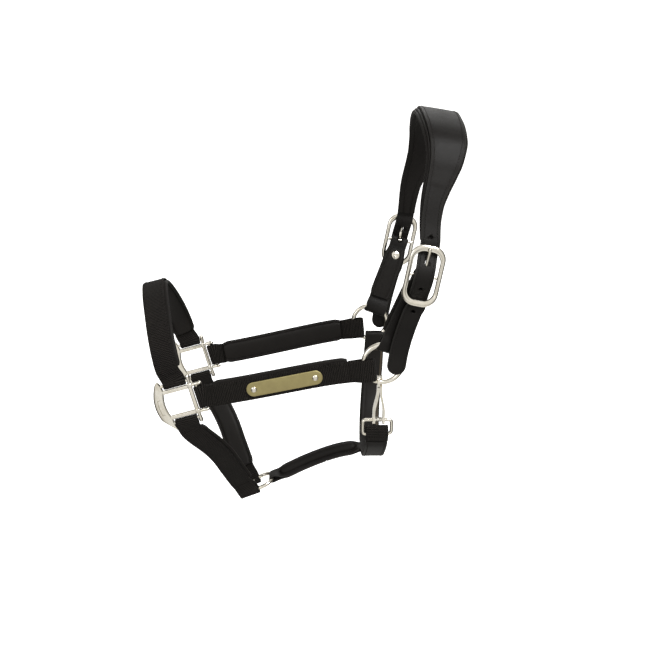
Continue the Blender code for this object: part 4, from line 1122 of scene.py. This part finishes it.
TONGUE_HALF_WIDTH = 0.0017
TONGUE_HALF_THICK = 0.0011
TONGUE_TIP = 0.93
tongue_line = smooth([(0.0012, 0.0031), (0.006, 0.0032), (0.012, 0.0036), (0.018, 0.0049), (0.0239, 0.0061),
                      (0.0280, 0.0063), (0.0303, 0.0061)], 5)
rings = []
for i, (up, out) in enumerate(tongue_line):
    share = i / (len(tongue_line) - 1)
    past = max(share - TONGUE_TIP, 0.0)
    wide = TONGUE_HALF_WIDTH * (1 - 0.18 * share) * sqrt(max(1 - (past / 0.075) ** 2, 0.08))
    thick = TONGUE_HALF_THICK * sqrt(max(1 - (past / 0.09) ** 2, 0.1))
    rings.append([BUCKLE_BAR + BUCKLE_UP * up - SIDE * (out + v) + BUCKLE_ACROSS * u
                  for u, v in oval(wide, thick, 16)])
finger = skin("tongue_finger", rings, nickel, crease=60)
eye = ring("tongue_eye", BUCKLE_BAR, BUCKLE_UP, SIDE, 0.0031, 0.0014, 40, 12)
settle(joined("near_tongue_finger", [finger, eye]), "near_tongue", "bright_nickel", "near_buckle_tongue", both=True)
print("buckle and tongue made")

# %% [markdown]
# The square is cast in one: three flat bars and a wide curved plate round an open middle, three round bars
# outside them for the straps, and ball-ended posts that wall in the slots.  The plate has a plain oblong
# recess.

# %% Squares
POST = WEB / 2 + 0.0010 + 0.0023
parts = []
front = -0.0133
ends = [((front - .002, OWN_BAR), (POST, OWN_BAR)), ((front - .002, -OWN_BAR), (POST, -OWN_BAR)),
        ((OWN_BAR, -POST), (OWN_BAR, POST)), ((front - .004, STRAP_BAR), (POST, STRAP_BAR)),
        ((front - .004, -STRAP_BAR), (POST, -STRAP_BAR)), ((STRAP_BAR, -POST), (STRAP_BAR, POST))]
for start, end in ends:
    if OWN_BAR in map(abs, start):
        cross = (square_point(*end) - square_point(*start)).cross(SIDE).normalized()
        rings = [[square_point(*place) + cross * u - SIDE * v for u, v in band(0.0047, 0.0037, 0.32, 4)]
                 for place in (start, end)]
        parts.append(skin("square_bar", rings, nickel, crease=50))
    else:
        parts.append(bar("square_bar", square_point(*start), square_point(*end), 0.0036))
post_length = 0.0285 - OWN_BAR + 0.002
post_profile = [(share * post_length, r) for share, r in (
    (0, 0.0018), (0.50, 0.0019), (0.60, 0.0021), (0.70, 0.0023), (0.86, 0.0023), (0.94, 0.0019), (0.985, 0.0012),
    (1, 0.0005))]
knee = 0.5 * (POST + OWN_BAR)
for level in (1, -1):
    for foot, way in ((square_point(POST, level * (OWN_BAR - 0.002)), SQUARE_UP * level),
                      (square_point(OWN_BAR - 0.002, level * POST), SQUARE_RIGHT)):
        parts.append(turned("square_post", foot, way, post_profile, nickel, 20, 60))
    parts.append(turned("square_knee", square_point(knee, level * knee, -0.0021), -SIDE,
                        [(0, 0.0030), (0.0005, 0.0038), (0.0021, 0.0042), (0.0037, 0.0038), (0.0042, 0.0030)],
                        nickel, 4, 60))

PLATE_HIGH = 0.0280
PLATE_LOW = 0.0302
PLATE_DEPTH = 0.0042
levels = [PLATE_HIGH - (PLATE_HIGH + PLATE_LOW) * i / 50 for i in range(51)]
rings = []
for v in levels:
    outer = -0.0203 - 0.0083 * (1 - (v / PLATE_HIGH) ** 2)
    inner = -0.0143 - 0.0030 * max(1 - (v / OWN_BAR) ** 2, 0.0) - max(abs(v) - 0.0171, 0.0) * 0.20
    outer += max(-v - 0.0160, 0.0) * 0.42
    inner += max(-v - 0.0160, 0.0) * 0.34
    tip = PLATE_HIGH if v > 0 else PLATE_LOW
    if abs(v) > tip - 0.0035:
        pinch = sqrt(max(1 - ((abs(v) - tip + 0.0035) / 0.0036) ** 2, 0.02))
        middle = 0.5 * (outer + inner)
        outer = middle + (outer - middle) * pinch
        inner = middle + (inner - middle) * pinch
    wide = inner - outer
    row = []
    for share, height in ((0, -0.30), (0, 0.22), (0.07, 0.40), (0.17, 0.5), (0.34, 0.5), (0.37, 0.5), (0.40, 0.5),
                          (0.60, 0.5), (0.63, 0.5), (0.66, 0.5), (0.83, 0.5), (0.93, 0.40), (1, 0.22), (1, -0.30),
                          (0.90, -0.5), (0.10, -0.5)):
        sunk = 0.24 if 0.38 < share < 0.62 and abs(v + 0.001) < 0.0092 and height == 0.5 else 0.0
        row.append(square_point(outer + wide * share, v, (height - sunk) * PLATE_DEPTH))
    rings.append(row)
parts.append(skin("square_plate", rings, nickel, crease=32))
settle(joined("near_square_cast", parts), "headcollar", "bright_nickel", "near_square", both=True)
print("square made")

# %% [markdown]
# The name plate is stamped brass with rolled ends and a worn edge.  It is left blank.  Two domed rivets
# hold it through the webbing.

# %% Name plate
PLATE_LONG = 0.0850
PLATE_WIDE = 0.0165
RIVET_SPACING = 0.0685
plate_at = min(cheek.spots(0, cheek.length, 0.0005), key=lambda d: abs(cheek.at(d)[0].x + 0.1663))
place, along, across, out, _ = cheek.at(plate_at)
plate_back = place + out * (0.0012 + 0.0008)
rings = []
for inset, height in ((0.0006, 0.0), (0.0, 0.0004), (0.0001, 0.0008), (0.0006, 0.0012), (0.0011, 0.00122)):
    outline = rounded_oblong(PLATE_LONG - 2 * inset, PLATE_WIDE - 2 * inset, 0.00815 - inset, 12, 12)
    rings.append([plate_back + along * u + across * v + out * height for u, v in outline])
plate = skin("plate_brass", rings, brass, crease=60)
lay = plate.data.uv_layers["lay"]
for loop in plate.data.loops:
    spot = plate.data.vertices[loop.vertex_index].co - plate_back
    lay.data[loop.index].uv = (spot.dot(across) * 1000, spot.dot(along) * 1000)
settle(plate, "headcollar", "aged_brass", "name_plate")
dome = [(-0.0040, 0.0012), (0.0, 0.0012), (0.0001, 0.0033), (0.0004, 0.00335), (0.0009, 0.0029), (0.0013, 0.0021),
        (0.00155, 0.0012), (0.0016, 0.0004)]
for name, side in (("plate_rivet_front", -1), ("plate_rivet_rear", 1)):
    seat = plate_back + along * (side * RIVET_SPACING / 2) + out * 0.00125
    settle(turned(name + "_dome", seat, out, dome, nickel, 32, 60), "headcollar", "bright_nickel", name)
print("plate at", [round(v, 4) for v in plate_back])

# %% [markdown]
# The throat snap is a rectangular wire loop, a coil spring and two hooks that cross over the ring.  The
# hooks and the spring keep their exact solids, because they swing; a Bevel modifier rounds the hooks' edges.

# %% Throat snap
LOOP_WIRE = 0.0040
LOOP_LONG = 0.0320
LOOP_HIGH = 0.0165
centre = LOW_BAR + UP * (LOOP_HIGH / 2)
outline = rounded_oblong(LOOP_LONG, LOOP_HIGH, 0.0034, 8, 6)
rings = []
for i, (u, v) in enumerate(outline):
    before = Vector(outline[i - 1])
    after = Vector(outline[(i + 1) % len(outline)])
    way = (after - before).normalized()
    side = FORE * way.y - UP * way.x
    rings.append([centre + FORE * u + UP * v + side * a + SIDE * b
                  for a, b in oval(LOOP_WIRE / 2, LOOP_WIRE / 2, 18)])
settle(skin("snap_loop_wire", rings, nickel, looped=True, crease=60), "loop", "bright_nickel", "snap_loop")
for node in ("snap_jaw_front", "snap_jaw_rear", "snap_spring"):
    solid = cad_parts[node]
    solid.data.materials.clear()
    solid.data.materials.append(steel if node == "snap_spring" else nickel)
    if node != "snap_spring":
        soft = solid.modifiers.new("soft_edges", "BEVEL")
        soft.width = 0.00045
        soft.segments = 3
        soft.limit_method = "ANGLE"
        soft.angle_limit = radians(40)
    solid.data.shade_smooth()
    solid.data.set_sharp_from_angle(angle=radians(45))
print("snap:", [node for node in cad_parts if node.startswith("snap")])

# %% [markdown]
# Black leather and bright nickel want different light.  The white floor and dome are seen only by the
# camera, so they give the plain background and nothing else.  What the metal reflects is the world, which
# is pale at the near and far sides, overhead and underfoot, and nearly black between.  Three soft lights
# shape the leather: a key from the near side behind, a weak fill from the front and one from the far side.

# %% Floor, lights and camera
def backdrop(name, points, faces):
    """A white surface that only the camera sees, so the straps don't pick up its glare."""
    mesh = bpy.data.meshes.new(name)
    mesh.from_pydata(points, [], faces)
    pale = Finish("pale_" + name, Roughness=0.95, Emission_Color=(1.0, 1.0, 1.0, 1.0), Emission_Strength=0.9)
    pale.set("Base Color", pale.mix(pale.noise(3.0), (0.86, 0.86, 0.86), (0.90, 0.90, 0.90)))
    mesh.materials.append(pale.material)
    made = placed(name, mesh)
    made.visible_diffuse = False
    made.visible_glossy = False
    made.visible_shadow = False


low = cad_box[0][2] - 0.12
wide = 12
backdrop("floor", [(-wide, -wide, low), (wide, -wide, low), (wide, wide, low), (-wide, wide, low)], [(0, 1, 2, 3)])
heights = [(1.0, low), (1.0, 3.0), (0.8, 7.0), (0.4, 9.5)]
sides = 24
dome = [(u, v, z) for share, z in heights for u, v in oval(0.95 * wide * share, 0.95 * wide * share, sides)]
walls = [(sides * r + i, sides * r + (i + 1) % sides, sides * (r + 1) + (i + 1) % sides, sides * (r + 1) + i)
         for r in range(3) for i in range(sides)]
backdrop("backdrop", dome, walls + [tuple(range(3 * sides, 4 * sides))])

world = bpy.data.worlds.new("studio")
world.use_nodes = True
tree = world.node_tree
sky = Finish("sky", tree)
_, side, rise = sky.xyz(sky.node("ShaderNodeTexCoord", {}, {}, 0))
facing = (0.0 - side).top(side * 0.85)
glow = 0.05 + 0.90 * ((facing - 0.35) * 1.7).clip() + 0.55 * (rise * 1.2 - 0.2).clip()
glow = glow + 0.85 * ((0.0 - rise - 0.68) * 5.0).clip()
paint = sky.mix(glow.clip(), (0.02, 0.014, 0.006), (1.0, 0.985, 0.94))
tree.links.new(paint.socket, tree.nodes["Background"].inputs["Color"])
tree.nodes["Background"].inputs["Strength"].default_value = 0.95
bpy.context.scene.world = world


def softbox(name, place, aim, size, power):
    lamp = bpy.data.lights.new(name, "AREA")
    lamp.shape = "RECTANGLE"
    lamp.size, lamp.size_y = size
    lamp.energy = power
    made = placed(name, lamp)
    made.location = place
    made.rotation_euler = (Vector(aim) - Vector(place)).to_track_quat("-Z", "Y").to_euler()


middle = (-0.16, 0.0, -0.22)
softbox("key", (0.75, -1.3, 1.4), middle, (0.8, 0.8), 46)
softbox("fill", (-1.6, -1.3, 0.5), middle, (1.2, 1.2), 9)
softbox("back", (0.2, 1.6, 1.2), middle, (1.4, 0.9), 10)

eye_place = Vector((-0.154, -0.955, 0.0387))
yaw = radians(2.04)
pitch = radians(16.05)
look = Vector((sin(yaw) * cos(pitch), cos(yaw) * cos(pitch), -sin(pitch)))
lens = bpy.data.cameras.new("camera")
lens.lens = 47.15
lens.sensor_width = 36
lens.clip_start = 0.01
camera = placed("camera", lens)
camera.location = eye_place
camera.rotation_euler = look.to_track_quat("-Z", "Y").to_euler()
bpy.context.scene.camera = camera
bpy.context.scene.view_settings.view_transform = "Standard"
print("floor at", round(low, 4), "camera at", tuple(eye_place))

# %% [markdown]
# Last, the scene is brought up to date.

# %% Finish
bpy.context.view_layer.update()
